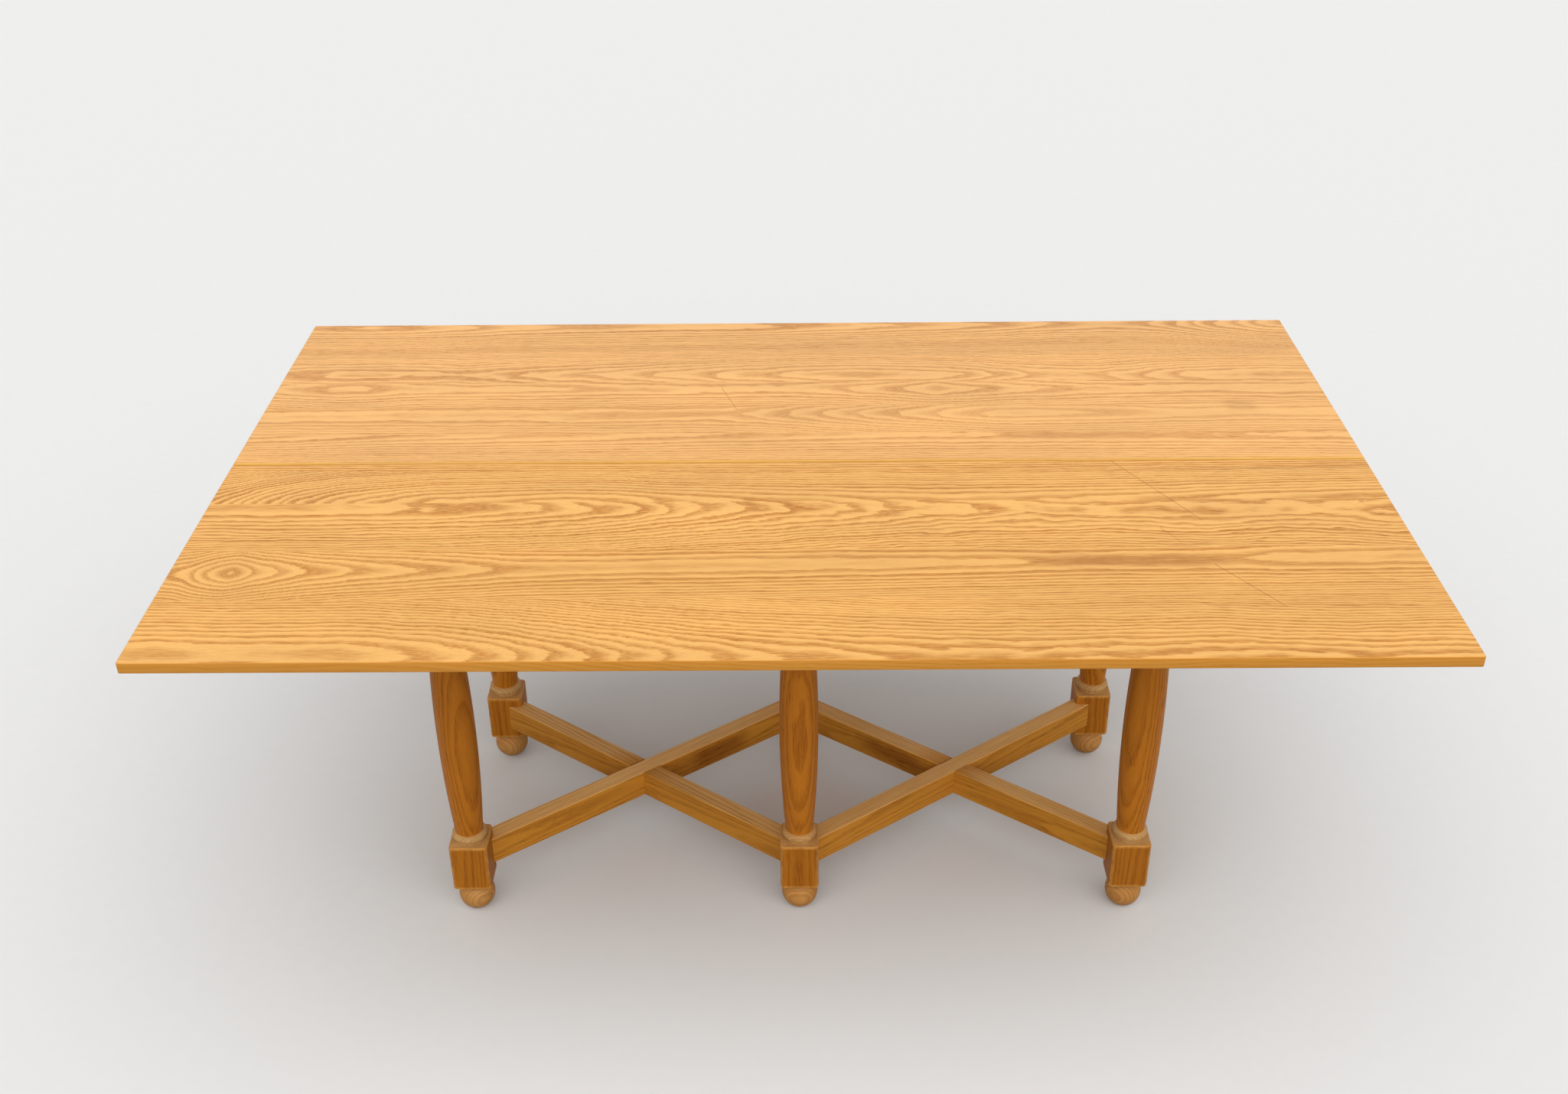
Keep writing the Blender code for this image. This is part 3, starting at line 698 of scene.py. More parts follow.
@dataclass(frozen=True)
class PlankedOak:
    """Planks glued edge to edge, plain sawn, so that each shows its cathedral figure.

    Attributes:
        planks: From the front to the back.
        fold_band: Width of the worn yellow line along the fold.
        scratches: Marks on the face.
        stains: Dark streaks and knots in the face.
        tint: The colours.
        grain: How the oak grew.
        first: Radius of the first year's growth.
    """

    planks: tuple[Plank, ...]
    fold_band: float
    scratches: tuple[Scratch, ...] = ()
    stains: tuple[Stain, ...] = ()
    tint: OakTint = TOP_TINT
    grain: OakGrain = OakGrain()
    first: float = 0.025

    # Depths of the pith that a ramp's shades stand for
    DEPTH_LOW = -0.10
    DEPTH_SPAN = 0.35

    # Seeds of the planks
    SEED_START = 1.0
    SEED_STEP = 1.7

    # Scratches, the painted shadow line along the fold and the worn band beside it
    SCRATCH_SHARE = 0.55
    SKIN = 0.002
    FOLD_DASHES = Mottle(16.0, 0.0, 3.0, 0.65)
    FOLD_START = 3.0
    FOLD_SHADOW_SPAN = (0.0006, 0.0020)
    FOLD_SHADE = 0.45
    WORN_CORE = 0.6
    WORN_SHARE = 0.85
    # Share of the rim colour on the leaves' edges, gathered finish and painted shade
    RIM_FINISH_AND_SHADE_SHARE = 0.8

    def material(self, name: str, half_length: float, face: float) -> Material:
        """Makes the material of one leaf.

        Args:
            name: The material's name.
            half_length: Half of the leaf's length along X.
            face: Level of its top face.

        Returns:
            The material.
        """
        sheet = Sheet(bpy.data.materials.new(name))
        x, y, z = sheet.place()
        steps = [y > plank.near for plank in self.planks[1:]]
        place = (x + half_length) / (2 * half_length)
        piths = [self._pith(sheet, place, plank, half_length) for plank in self.planks]
        heart = self._each(steps, "heart") + x * self._each(steps, "slant")
        dirt = self._marks(sheet, x, y, z, face) * self.SCRATCH_SHARE
        for stain in self.stains:
            dirt = stain.cover(sheet, x, y) + dirt
        dashes = self.FOLD_DASHES.draw(sheet, x, 0.0, start=self.FOLD_START)
        # A dark line along the fold, dashed along X: painted shadow of the groove between the leaves.
        line = (1.0 - sheet.ease(abs(y), *self.FOLD_SHADOW_SPAN)) * (self.FOLD_SHADE + dashes)
        worn = 1.0 - sheet.ease(abs(y), self.fold_band * self.WORN_CORE, self.fold_band)
        spot = Spot(
            along=x,
            across=(y - heart) * chosen(steps, [1.0 / plank.grow for plank in self.planks]),
            depth=chosen(steps, piths) + (z - face),
            first=self.first,
            ripple=self._each(steps, "ripple"),
            seed=chosen(steps, [self.SEED_START + self.SEED_STEP * k for k in range(len(self.planks))]),
            # The painted fold shadow darkens the board's lightness.
            tone=self._each(steps, "tone") * (1.0 - line),
            # The edge faces take the rim colour, partly painted shade.
            edge_wear_and_shade=sheet.attribute("edge") * self.RIM_FINISH_AND_SHADE_SHARE,
            pale=worn * (self.WORN_SHARE + dashes),
            dirt=dirt,
            bold=self._each(steps, "bold"),
        )
        self.grain.paint(sheet, self.tint, spot)
        return sheet.owner

    def _each(self, steps: Sequence[Signal], key: str) -> Value:
        """The value that each plank has for one of its attributes."""
        return chosen(steps, [getattr(plank, key) for plank in self.planks])

    def _pith(self, sheet: Sheet, place: Signal, plank: Plank, half_length: float) -> Signal:
        """Draws the pith's depth along a plank, a smooth curve through the plank's own places.

        Args:
            sheet: The material's sheet.
            place: Place along the leaf, from 0 to 1.
            plank: The plank.
            half_length: Half of the leaf's length.

        Returns:
            The depth.
        """
        stops = []
        for x, years in plank.pith:
            depth = math.copysign(self.first * abs(years) ** (1.0 / self.grain.crowding), years)
            share = (depth - self.DEPTH_LOW) / self.DEPTH_SPAN
            stops.append(((x + half_length) / (2 * half_length), grey(share)))
        ramp = sheet.node("ShaderNodeValToRGB", {"interpolation": "CARDINAL", "stops": stops}, {0: place})
        split = sheet.node("ShaderNodeSeparateColor", None, {0: sheet.out(ramp)})
        return sheet.out(split) * self.DEPTH_SPAN + self.DEPTH_LOW

    def _marks(self, sheet: Sheet, x: Signal, y: Signal, z: Signal, face: float) -> Value:
        """Draws the scratches, from the distance to each scratch's line.

        Args:
            sheet: The material's sheet.
            x: X of the surface point.
            y: Y of the surface point.
            z: Z of the surface point.
            face: Level of the face that is scratched.

        Returns:
            One on the scratches and zero elsewhere.
        """
        total: Value = 0.0
        for scratch in self.scratches:
            step_x, step_y = (end - start for start, end in zip(scratch.start, scratch.end))
            length = math.hypot(step_x, step_y)
            run_x, run_y = step_x / length, step_y / length
            past_x, past_y = x - scratch.start[0], y - scratch.start[1]
            along = past_x * run_x + past_y * run_y
            off = past_y * run_x - past_x * run_y
            inside = (along > 0.0) * (along < length) * (z > face - self.SKIN)
            total = inside * (1.0 - sheet.ease(abs(off), 0.0, scratch.width)) + total
        return total


@dataclass(frozen=True)
class SawnOak:
    """One piece of solid oak, sawn from a log whose pith lies outside or inside it.

    Attributes:
        origin: A point in the piece.
        grain: Unit direction of the grain.
        toward: Unit direction from the piece to the pith, square to the grain.
        pith: Distance from the origin to the pith.
        first: Radius of the first year's growth.
        seed: A number that sets this piece's chances apart.
        tint: The colours.
        lean: How far the pith drifts away over each metre of grain.
        tone: Lightness, around 1.
        growth: How the oak grew.
        ripple: How far its rings swell in and out.
        stains: Dark streaks in it.
    """

    origin: Point
    grain: Point
    toward: Point
    pith: float
    first: float
    seed: float
    tint: OakTint
    lean: float = 0.0
    tone: float = 1.0
    growth: OakGrain = OakGrain(jag=0.28, contrast=0.60, pores=0.65, press=0.0)
    ripple: float = 0.0012
    stains: tuple[Stain, ...] = ()

    WEAR_BASE = 0.5
    WEAR_NICKS = 1.6

    def material(self, name: str) -> Material:
        """Makes the piece's material.

        Args:
            name: The material's name.

        Returns:
            The material.
        """
        sheet = Sheet(bpy.data.materials.new(name))
        ends = {0: sheet.position(), 1: self.origin}
        local = sheet.out(sheet.node("ShaderNodeVectorMath", {"operation": "SUBTRACT"}, ends))
        along = sheet.dot(local, self.grain)
        dirt: Value = 0.0
        for stain in self.stains:
            dirt = stain.cover(sheet, along, sheet.dot(local, UP)) + dirt
        nick = sheet.noise(sheet.scale(local, NICKS), 3.0)
        spot = Spot(
            along=along,
            across=sheet.dot(local, Vector(self.grain).cross(Vector(self.toward))),
            depth=self.pith - sheet.dot(local, self.toward) + along * self.lean,
            first=self.first,
            ripple=self.ripple,
            seed=self.seed,
            tone=self.tone,
            edge_wear_and_shade=sheet.attribute("edge") * (self.WEAR_BASE + nick * self.WEAR_NICKS),
            # Paleness kept at the vertices: rubbed wood, and painted light on upward and turned faces.
            pale=sheet.attribute("raw"),
            dirt=dirt,
        )
        self.growth.paint(sheet, self.tint, spot)
        return sheet.owner


@dataclass(frozen=True)
class FeltFinish:
    """Pressed wool felt, matted and slightly fuzzy.

    Attributes:
        colour: Of the felt.
        lint: Of the fibres that stand up from it.
        clumps: Noise of matted patches.
        fibres: Noise of single fibres.
        lint_span: Noise between which the lint comes to cover the felt.
        roughness: Of the felt.
        patchy: How far the matted patches change that.
        sheen: Strength of the fuzz.
        relief: Height of the fibres.
    """

    colour: Colour = (0.060, 0.045, 0.035, 1.0)
    lint: Colour = (0.140, 0.115, 0.090, 1.0)
    clumps: Mottle = Mottle(260.0, 260.0, 3.0, 0.65)
    fibres: Mottle = Mottle(900.0, 2600.0, 2.0, 0.6)
    lint_span: tuple[float, float] = (-0.2, 0.4)
    roughness: float = 0.94
    patchy: float = 0.08
    sheen: float = 0.35
    relief: float = 0.0004

    def material(self, name: str) -> Material:
        """Makes the material, with fibres from two scales of noise.

        Args:
            name: The material's name.

        Returns:
            The material.
        """
        sheet = Sheet(bpy.data.materials.new(name))
        place = sheet.place()
        clump = self.clumps.draw(sheet, *place)
        fuzz = clump + self.fibres.draw(sheet, *place)
        sheet.feed("Base Color", sheet.mix(sheet.ease(fuzz, *self.lint_span), self.colour, self.lint))
        sheet.feed("Roughness", self.roughness + clump * self.patchy)
        sheet.feed("Sheen Weight", self.sheen)
        sheet.bump(fuzz + 0.5, self.relief)
        return sheet.owner


@dataclass(frozen=True)
class PlatedSteel:
    """Plated steel, drawn along one direction, with a little tarnish.

    Attributes:
        colour: Of the clean plating.
        tarnish: Of the tarnished patches.
        roughness: Of the plating.
        stretch: Cycles to a metre of the drawn lines along X, Y and Z.
        patches: Noise of the tarnish.
        patch_span: Noise between which tarnish comes to cover the plating.
        line_dull: How far the drawn lines change the roughness.
        patch_dull: How far the tarnish changes it.
        relief: Depth of the drawn lines.
    """

    colour: Colour
    tarnish: Colour
    roughness: float
    stretch: Point
    patches: Mottle = Mottle(170.0, 170.0, 3.0, 0.6)
    patch_span: tuple[float, float] = (0.02, 0.30)
    line_dull: float = 0.22
    patch_dull: float = 0.16
    relief: float = 0.00003

    def material(self, name: str) -> Material:
        """Makes the material, with scratches along its drawing and patches of tarnish.

        Args:
            name: The material's name.

        Returns:
            The material.
        """
        sheet = Sheet(bpy.data.materials.new(name))
        place = sheet.place()
        drawn = sheet.vector(*(part * scale for part, scale in zip(place, self.stretch)))
        lines = sheet.noise(drawn, 3.0, 0.6)
        patch = self.patches.draw(sheet, *place)
        dimmed = sheet.ease(patch, *self.patch_span)
        sheet.feed("Base Color", sheet.mix(dimmed, self.colour, self.tarnish))
        sheet.feed("Metallic", 1.0)
        sheet.feed("Roughness", self.roughness + lines * self.line_dull + patch * self.patch_dull)
        sheet.bump(lines + 0.5, self.relief)
        return sheet.owner


def mesh_object(name: str, vertices: np.ndarray, faces: Faces, **marks: np.ndarray) -> Object:
    """Puts vertices and faces into a new object at the origin.

    Args:
        name: The object's name.
        vertices: One row of X, Y and Z for each vertex.
        faces: Vertex numbers of each face, facing outwards.
        marks: Numbers from 0 to 1 at each vertex, such as how edge-like it is and how pale, from rubbing and
            painted light.

    Returns:
        The object, shaded smooth except at sharp creases.
    """
    mesh = bpy.data.meshes.new(name)
    mesh.from_pydata(vertices.tolist(), [], [list(map(int, face)) for face in faces])
    for key, values in marks.items():
        attribute = mesh.attributes.new(key, "FLOAT", "POINT")
        attribute.data.foreach_set("value", values.ravel().astype(np.float32))
    mesh.validate()
    mesh.shade_smooth()
    mesh.set_sharp_from_angle(angle=CREASE)
    made = bpy.data.objects.new(name, mesh)
    bpy.context.scene.collection.objects.link(made)
    return made


def ring_faces(rings: int, points: int) -> np.ndarray:
    """Quads between neighbouring closed rings, whose points run anticlockwise seen from the last ring.

    Args:
        rings: Number of rings.
        points: Number of points in each ring.

    Returns:
        Four vertex numbers for each quad.
    """
    row, column = np.meshgrid(np.arange(rings - 1), np.arange(points), indexing="ij")
    start = row * points
    following = (column + 1) % points
    corners = (start + column, start + following, start + points + following, start + points + column)
    return np.stack(corners, -1).reshape(-1, 4)


def tube(name: str, rings: np.ndarray, **marks: np.ndarray) -> Object:
    """A closed skin over a stack of rings, with a flat face at each end.

    Args:
        name: The object's name.
        rings: Points of each ring, as an array of ring, point and X, Y, Z.
        marks: Numbers from 0 to 1, each as an array of ring and point.

    Returns:
        The object.
    """
    count, points = rings.shape[:2]
    faces = list(ring_faces(count, points))
    faces.append(np.arange(points)[::-1])
    faces.append(np.arange(points) + (count - 1) * points)
    return mesh_object(name, rings.reshape(-1, 3), faces, **marks)


def quarter(steps: int) -> np.ndarray:
    """Angles of a quarter turn, both ends included."""
    return np.linspace(0.0, math.pi / 2, steps + 1)


def slab(name: str, low: Sequence[float], high: Sequence[float], ease: float) -> Object:
    """A board with eased edges and corners.

    Its plan is a rectangle with round corners. Each ring is the plan drawn in by an inset at a
    level, and the insets follow a quarter circle over each arris. A second ring just inside each
    face keeps the face flat in its shading.

    Args:
        name: The object's name.
        low: Lowest corner.
        high: Highest corner.
        ease: Radius of the arrises.

    Returns:
        The object, with its edges marked.
    """
    low, high = np.asarray(low, float), np.asarray(high, float)
    middle, half = (low + high) / 2, (high - low) / 2
    corner = 2.5 * ease
    arc = quarter(ARC_STEPS)
    angles = np.concatenate([arc + k * math.pi / 2 for k in range(4)])
    signs = np.repeat(np.array([[1, 1], [-1, 1], [-1, -1], [1, -1]], float), len(arc), axis=0)
    insets = ease * (1 - np.sin(arc))
    drops = ease * (1 - np.cos(arc))
    inset = np.concatenate([[2 * ease], insets, [0.0], insets[::-1], [2 * ease]])
    level = np.concatenate([[-half[2]], -half[2] + drops, [0.0], half[2] - drops[::-1], [half[2]]])
    mark = np.concatenate([[0.0], np.sin(arc) ** 0.5, [1.0], np.sin(arc)[::-1] ** 0.5, [0.0]])
    radius = corner - inset[:, None]
    x = signs[:, 0] * (half[0] - corner) + radius * np.cos(angles)
    y = signs[:, 1] * (half[1] - corner) + radius * np.sin(angles)
    z = np.broadcast_to(level[:, None], x.shape)
    return tube(name, np.stack([x, y, z], -1) + middle, edge=np.broadcast_to(mark[:, None], x.shape))


def cut(piece: Object, cutter: Object) -> None:
    """Cuts a piece with another object, which is then removed.

    Args:
        piece: The piece.
        cutter: What is taken from it.
    """
    modifier = piece.modifiers.new("cut", "BOOLEAN")
    modifier.operation = "DIFFERENCE"
    modifier.object = cutter
    modifier.solver = "EXACT"
    bpy.context.view_layer.update()
    graph = bpy.context.evaluated_depsgraph_get()
    mesh = bpy.data.meshes.new_from_object(piece.evaluated_get(graph))
    mesh.name = piece.name
    piece.modifiers.clear()
    old, piece.data = piece.data, mesh
    bpy.data.meshes.remove(old)
    mesh.set_sharp_from_angle(angle=CREASE)
    spent = cutter.data
    bpy.data.objects.remove(cutter)
    bpy.data.meshes.remove(spent)


def block(name: str, low: Sequence[float], high: Sequence[float]) -> Object:
    """A plain box to cut with.

    Args:
        name: The object's name.
        low: Lowest corner.
        high: Highest corner.

    Returns:
        The box.
    """
    plan = ((low[0], low[1]), (high[0], low[1]), (high[0], high[1]), (low[0], high[1]))
    return tube(name, np.array([[(x, y, z) for x, y in plan] for z in (low[2], high[2])], float))


def settle(piece: Object, body: Body, slot: Slot, material: Material, *nodes: str) -> None:
    """Finishes a piece and sets it on its body in place of CAD nodes.

    Args:
        piece: The piece.
        body: What it rides on.
        slot: The record's slot for its finish; not used.
        material: Its material.
        nodes: The CAD nodes that it stands for.
    """
    piece.data.materials.clear()
    piece.data.materials.append(material)
    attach(piece, body.value)
    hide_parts(*nodes)
    LOG.info("%s stands for %s", piece.name, ", ".join(nodes))


def dress(node: str, material: Material) -> None:
    """Gives a CAD node that stays a new material.

    Args:
        node: The CAD node.
        material: The material.
    """
    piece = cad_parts[node]
    piece.data.materials.clear()
    piece.data.materials.append(material)
    LOG.info("%s keeps its solid", node)


def nodes_named(start: str) -> list[str]:
    """Names of the CAD nodes that begin with some words."""
    return sorted(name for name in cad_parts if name.startswith(start))


FRONT_OAK = PlankedOak(
    planks=(
        Plank(-0.600, -0.556, -0.022, 0.0034, 1.00, 0.84, (
            (-0.9145, 3.3), (-0.860, 3.2), (-0.780, 3.6), (-0.700, 3.5), (-0.620, 3.3), (-0.560, 3.7),
            (-0.490, 4.2), (-0.440, 5.0), (-0.385, 6.0), (-0.335, 7.0), (-0.285, 8.0), (-0.235, 9.0),
            (-0.170, 10.2), (-0.080, 11.5), (0.060, 12.6), (0.250, 13.4), (0.450, 12.7), (0.600, 12.2),
            (0.750, 12.8), (0.9145, 12.2)), 1.22),
        Plank(-0.405, -0.316, 0.018, 0.0018, 0.98, 0.80, (
            (-0.9145, -3.2), (-0.875, -1.9), (-0.823, 0.0), (-0.796, 1.0), (-0.760, 2.0), (-0.724, 3.0),
            (-0.655, 4.0), (-0.555, 5.0), (-0.442, 6.0), (-0.400, 6.36), (-0.300, 6.52), (-0.050, 6.62),
            (0.200, 6.72), (0.320, 6.9), (0.370, 7.05), (0.480, 7.08), (0.600, 7.08), (0.650, 7.0),
            (0.700, 6.75), (0.9145, 6.52))),
        Plank(-0.271, -0.150, -0.012, 0.0054, 1.00, 0.92, (
            (-0.9145, 1.45), (-0.750, 1.40), (-0.600, 1.70), (-0.535, 2.0), (-0.480, 2.4), (-0.400, 3.0),
            (-0.318, 4.0), (-0.252, 5.0), (-0.202, 6.0), (-0.150, 7.0), (-0.090, 8.0), (-0.020, 9.0),
            (0.060, 10.0), (0.150, 11.2), (0.300, 12.4), (0.450, 12.8), (0.620, 12.3), (0.760, 12.9),
            (0.9145, 12.1)), 1.2),
        Plank(-0.128, -0.130, 0.0, 0.0030, 1.00, 0.92, (
            (-0.9145, 15.0), (-0.860, 12.0), (-0.800, 9.0), (-0.740, 6.6), (-0.680, 4.9), (-0.630, 3.9),
            (-0.580, 3.0), (-0.500, 2.45), (-0.420, 2.05), (-0.360, 1.75), (-0.270, 2.2), (-0.220, 3.0),
            (-0.100, 3.9), (0.050, 4.7), (0.250, 5.3), (0.457, 4.9), (0.600, 4.2), (0.720, 3.6),
            (0.9145, 3.0))),
        Plank(-0.022, 0.060, 0.0, 0.0016, 1.02, 1.00, ((-0.9145, 6.4), (0.000, 5.5), (0.9145, 7.2))),
    ),
    fold_band=0.003,
    scratches=(
        Scratch((0.504, 0.000), (0.613, -0.194)),
        Scratch((0.545, -0.215), (0.569, -0.259), 0.0012),
        Scratch((0.604, -0.320), (0.681, -0.435)),
    ),
    stains=(
        Stain(0.310, 0.672, -0.3085, 0.030, 0.36),
        Stain(0.863, 0.874, -0.1385, 0.006, 0.50),
    ),
)
REAR_OAK = PlankedOak(
    planks=(
        Plank(-0.050, 0.098, -0.012, 0.0025, 1.02, 0.92, (
            (-0.9145, 0.80), (-0.850, 1.1), (-0.715, 2.0), (-0.600, 2.5), (-0.490, 3.0), (-0.300, 3.6),
            (0.000, 4.4), (0.300, 5.0), (0.600, 5.2), (0.9145, 4.8))),
        Plank(0.103, 0.173, 0.0, 0.0034, 1.00, 0.68, (
            (-0.9145, 7.7), (-0.600, 7.5), (-0.400, 7.3), (-0.330, 7.1), (-0.230, 7.2), (-0.150, 7.3),
            (-0.095, 7.0), (-0.012, 6.0), (0.042, 5.0), (0.112, 4.0), (0.172, 3.0), (0.240, 2.0),
            (0.310, 1.0), (0.360, 0.7), (0.420, 0.75), (0.500, 1.0), (0.600, 1.5), (0.750, 1.8),
            (0.9145, 1.6))),
        Plank(0.202, 0.272, -0.010, 0.0042, 1.00, 0.90, (
            (-0.9145, 2.70), (-0.870, 2.35), (-0.830, 2.0), (-0.785, 1.80), (-0.740, 2.0), (-0.700, 2.35),
            (-0.640, 2.62), (-0.500, 2.85), (-0.410, 3.0), (-0.330, 3.22), (-0.250, 3.45), (-0.100, 3.70),
            (0.030, 3.45), (0.100, 3.0), (0.150, 2.5), (0.190, 2.0), (0.220, 1.5), (0.245, 1.2), (0.270, 1.5),
            (0.310, 2.0), (0.360, 2.5), (0.420, 3.0), (0.500, 3.5), (0.650, 3.8), (0.9145, 3.6))),
        Plank(0.300, 0.329, -0.012, 0.0046, 1.01, 0.90, (
            (-0.9145, 8.15), (-0.880, 8.0), (-0.760, 7.70), (-0.640, 8.0), (-0.618, 8.1), (-0.595, 8.0),
            (-0.485, 7.0), (-0.360, 6.0), (-0.250, 5.0), (-0.145, 4.0), (-0.040, 3.0), (0.060, 2.4),
            (0.170, 2.5), (0.275, 3.0), (0.340, 4.0), (0.405, 5.0), (0.460, 5.4), (0.520, 5.4),
            (0.560, 5.0), (0.620, 4.0), (0.680, 3.0), (0.760, 2.5), (0.9145, 2.3))),
        Plank(0.407, 0.546, 0.0, 0.0025, 0.97, 1.05, (
            (-0.9145, 1.35), (-0.800, 1.0), (-0.700, 1.4), (-0.550, 2.5), (-0.300, 3.4), (0.000, 4.2),
            (0.400, 6.2), (0.620, 7.4), (0.750, 5.2), (0.850, 2.6), (0.9145, 1.4))),
    ),
    fold_band=0.009,
    scratches=(Scratch((-0.132, 0.277), (-0.103, 0.191), 0.0013),),
    stains=(Stain(0.722, 0.792, 0.195, 0.036, 0.20),),
    tint=REAR_TINT_WITH_SHEEN,
    # A weaker figure than the front leaf's, painted sheen washing it out.
    grain=OakGrain(contrast=0.80),
)


@dataclass(frozen=True)
class TableTop:
    """The two leaves, each with round seats for its hinge barrels along the fold.

    Attributes:
        ease: Radius of the arrises.
        seat_gap: Space around a barrel.
        seat_sides: Sides of a round seat.
        seat_past: How far a seat's cutter runs past the leaf's edge.
    """

    ease: float = 0.0014
    seat_gap: float = 0.0003
    seat_sides: int = 40
    seat_past: float = 0.002

    def build(self) -> None:
        """Makes both leaves and sets them on their bodies."""
        leaves = (("front", Body.CARRIAGE, FRONT_OAK), ("rear", Body.LEAF, REAR_OAK))
        for place, body, oak in leaves:
            node = f"{place}_leaf"
            low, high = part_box(node)
            leaf = slab(f"oak_{node}", low, high, self.ease)
            for barrel in nodes_named(f"hinge_barrel_{place}"):
                cut(leaf, self._seat(barrel, low, high))
            settle(leaf, body, Slot.TOP, oak.material(f"{node}_oak", high.x, high.z), node)

    def _seat(self, barrel: str, leaf_low: Vector, leaf_high: Vector) -> Object:
        """A cylinder along Y, a little larger than a barrel and open at the fold.

        Args:
            barrel: The barrel's CAD node.
            leaf_low: Lowest corner of the leaf that holds it.
            leaf_high: Highest corner of that leaf.

        Returns:
            The cutter.
        """
        low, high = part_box(barrel)
        radius = (high.x - low.x) / 2 + self.seat_gap
        x = (low.x + high.x) / 2
        z = low.z + (high.x - low.x) / 2
        if low.y < leaf_low.y:
            ends = (leaf_low.y - self.seat_past, high.y + self.seat_gap)
        else:
            ends = (low.y - self.seat_gap, leaf_high.y + self.seat_past)
        angles = np.linspace(0.0, 2 * math.pi, self.seat_sides, endpoint=False)
        across, rise = x + radius * np.sin(angles), z + radius * np.cos(angles)
        return tube("seat", np.stack([np.stack([across, np.full_like(across, y), rise], -1) for y in ends]))


@dataclass(frozen=True)
class TurnedLeg:
    """A leg turned from one square blank, with a ball foot, two blocks, two beads and a full shaft.

    Attributes:
        blank: Side of the square blocks.
        chamfer: Width taken off the blocks' upright corners.
        softness: Exponent that rounds the blocks' section; larger is crisper.
        shoulder: Radius of the arrises at the blocks' ends.
        ball_radius: Of the foot.
        foot_radius: Of the flat under the ball.
        neck_radius: Where the ball meets the lower block.
        neck_height: Of the neck under the lower block.
        collar_radius: Of the fillet between a block and a bead.
        collar_height: Of that fillet.
        bead_radius: Of a bead's round.
        bead_reach: From the leg's axis to a bead's crown.
        bead_spread: How far a bead's round turns to each side of its crown.
        shaft_end: Radius of the shaft at its ends.
        shaft_middle: Radius of the shaft at its middle.
        block_levels: Lower and upper ends of the lower block, then of the upper block.
        block_margin: From a block's ends to the first of its even rings.
        corner_span: Degrees over which a block's corner counts as an edge.
        ball_rings: Rings over the ball.
        bead_rings: Rings over a bead.
        shaft_rings: Rings along the shaft.
        block_rings: Even rings along a block.
        ball_bare: How far the ball is rubbed through its stain.
        neck_bare: The same for the neck.
        collar_pale_and_lit: For a collar, partly rubbed finish and partly painted highlight.
        bead_pale_and_lit: For a bead, partly rubbed finish and partly painted highlight.
        end_bare: For a block's ends, painted light from above on the upper ends.
        arris_bare: For a block's arrises.
        face_bare: For a block's faces, which it darkens.
    """

    blank: float = 0.0645
    chamfer: float = 0.004
    softness: float = 90.0
    shoulder: float = 0.0014
    ball_radius: float = 0.0305
    foot_radius: float = 0.0130
    neck_radius: float = 0.016
    neck_height: float = 0.0016
    collar_radius: float = 0.024
    collar_height: float = 0.003
    bead_radius: float = 0.008
    bead_reach: float = 0.0291
    bead_spread: float = math.radians(75.0)
    shaft_end: float = 0.0232
    shaft_middle: float = 0.0316
    block_levels: tuple[float, float, float, float] = (0.058, 0.1485, 0.6027, 0.7297)
    block_margin: float = 0.006
    corner_span: float = 6.0
    ball_rings: int = 22
    bead_rings: int = 13
    shaft_rings: int = 33
    block_rings: int = 5
    # Paleness of each part: the ball and neck are rubbed; collars, beads and block ends also carry painted
    # light.
    ball_bare: float = 0.46
    neck_bare: float = 0.3
    collar_pale_and_lit: float = 0.9
    bead_pale_and_lit: float = 0.88
    end_bare: float = 0.9
    arris_bare: float = 0.6
    face_bare: float = -0.16

    def section(self) -> np.ndarray:
        """Outline of the blocks.

        The distance from the axis is the reciprocal of a high-power sum of the eight planes' own
        reciprocals, which follows the planes and rounds the corners between them.

        Returns:
            X and Y of each point, closest together near the corners.
        """
        flat = np.radians(np.linspace(-36.0, 36.0, 13))
        bend = np.radians(np.array([38.5, 40.0, 41.1, 42.2, 43.6, 46.4, 47.8, 48.9, 50.0, 51.5]))
        angles = np.concatenate([np.concatenate([flat, bend]) + k * math.pi / 2 for k in range(4)])
        half = self.blank / 2
        planes = np.arange(8) * math.pi / 4
        reach = np.where(np.arange(8) % 2 == 0, half, (2 * half - self.chamfer) / math.sqrt(2))
        facing = np.clip(np.cos(angles[:, None] - planes), 0.0, None) / reach
        radius = (facing**self.softness).sum(1) ** (-1 / self.softness)
        return np.stack([radius * np.cos(angles), radius * np.sin(angles)], -1)

    def outline(self) -> tuple[np.ndarray, ...]:
        """The leg's profile from its foot to its top.

        Returns:
            Level, radius of the turned rings, inset of the square rings, which is negative on
            turned ones, how edge-like each ring is and how pale, from rubbing and painted light.
        """
        lower, middle, upper, top = self.block_levels
        ball_level = math.sqrt(self.ball_radius**2 - self.foot_radius**2)
        from_foot = -math.acos(self.foot_radius / self.ball_radius)
        to_neck = math.acos(self.neck_radius / self.ball_radius)
        swing = np.linspace(from_foot, to_neck, self.ball_rings)
        ball = self.ball_radius * np.cos(swing), ball_level + self.ball_radius * np.sin(swing)
        neck, collar = np.full(2, self.neck_radius), np.full(2, self.collar_radius)
        low_collar = np.array([middle, middle + self.collar_height])
        high_collar = np.array([upper - self.collar_height, upper])
        bead_half = self.bead_radius * math.sin(self.bead_spread)
        low_bead = middle + self.collar_height + bead_half
        high_bead = upper - self.collar_height - bead_half
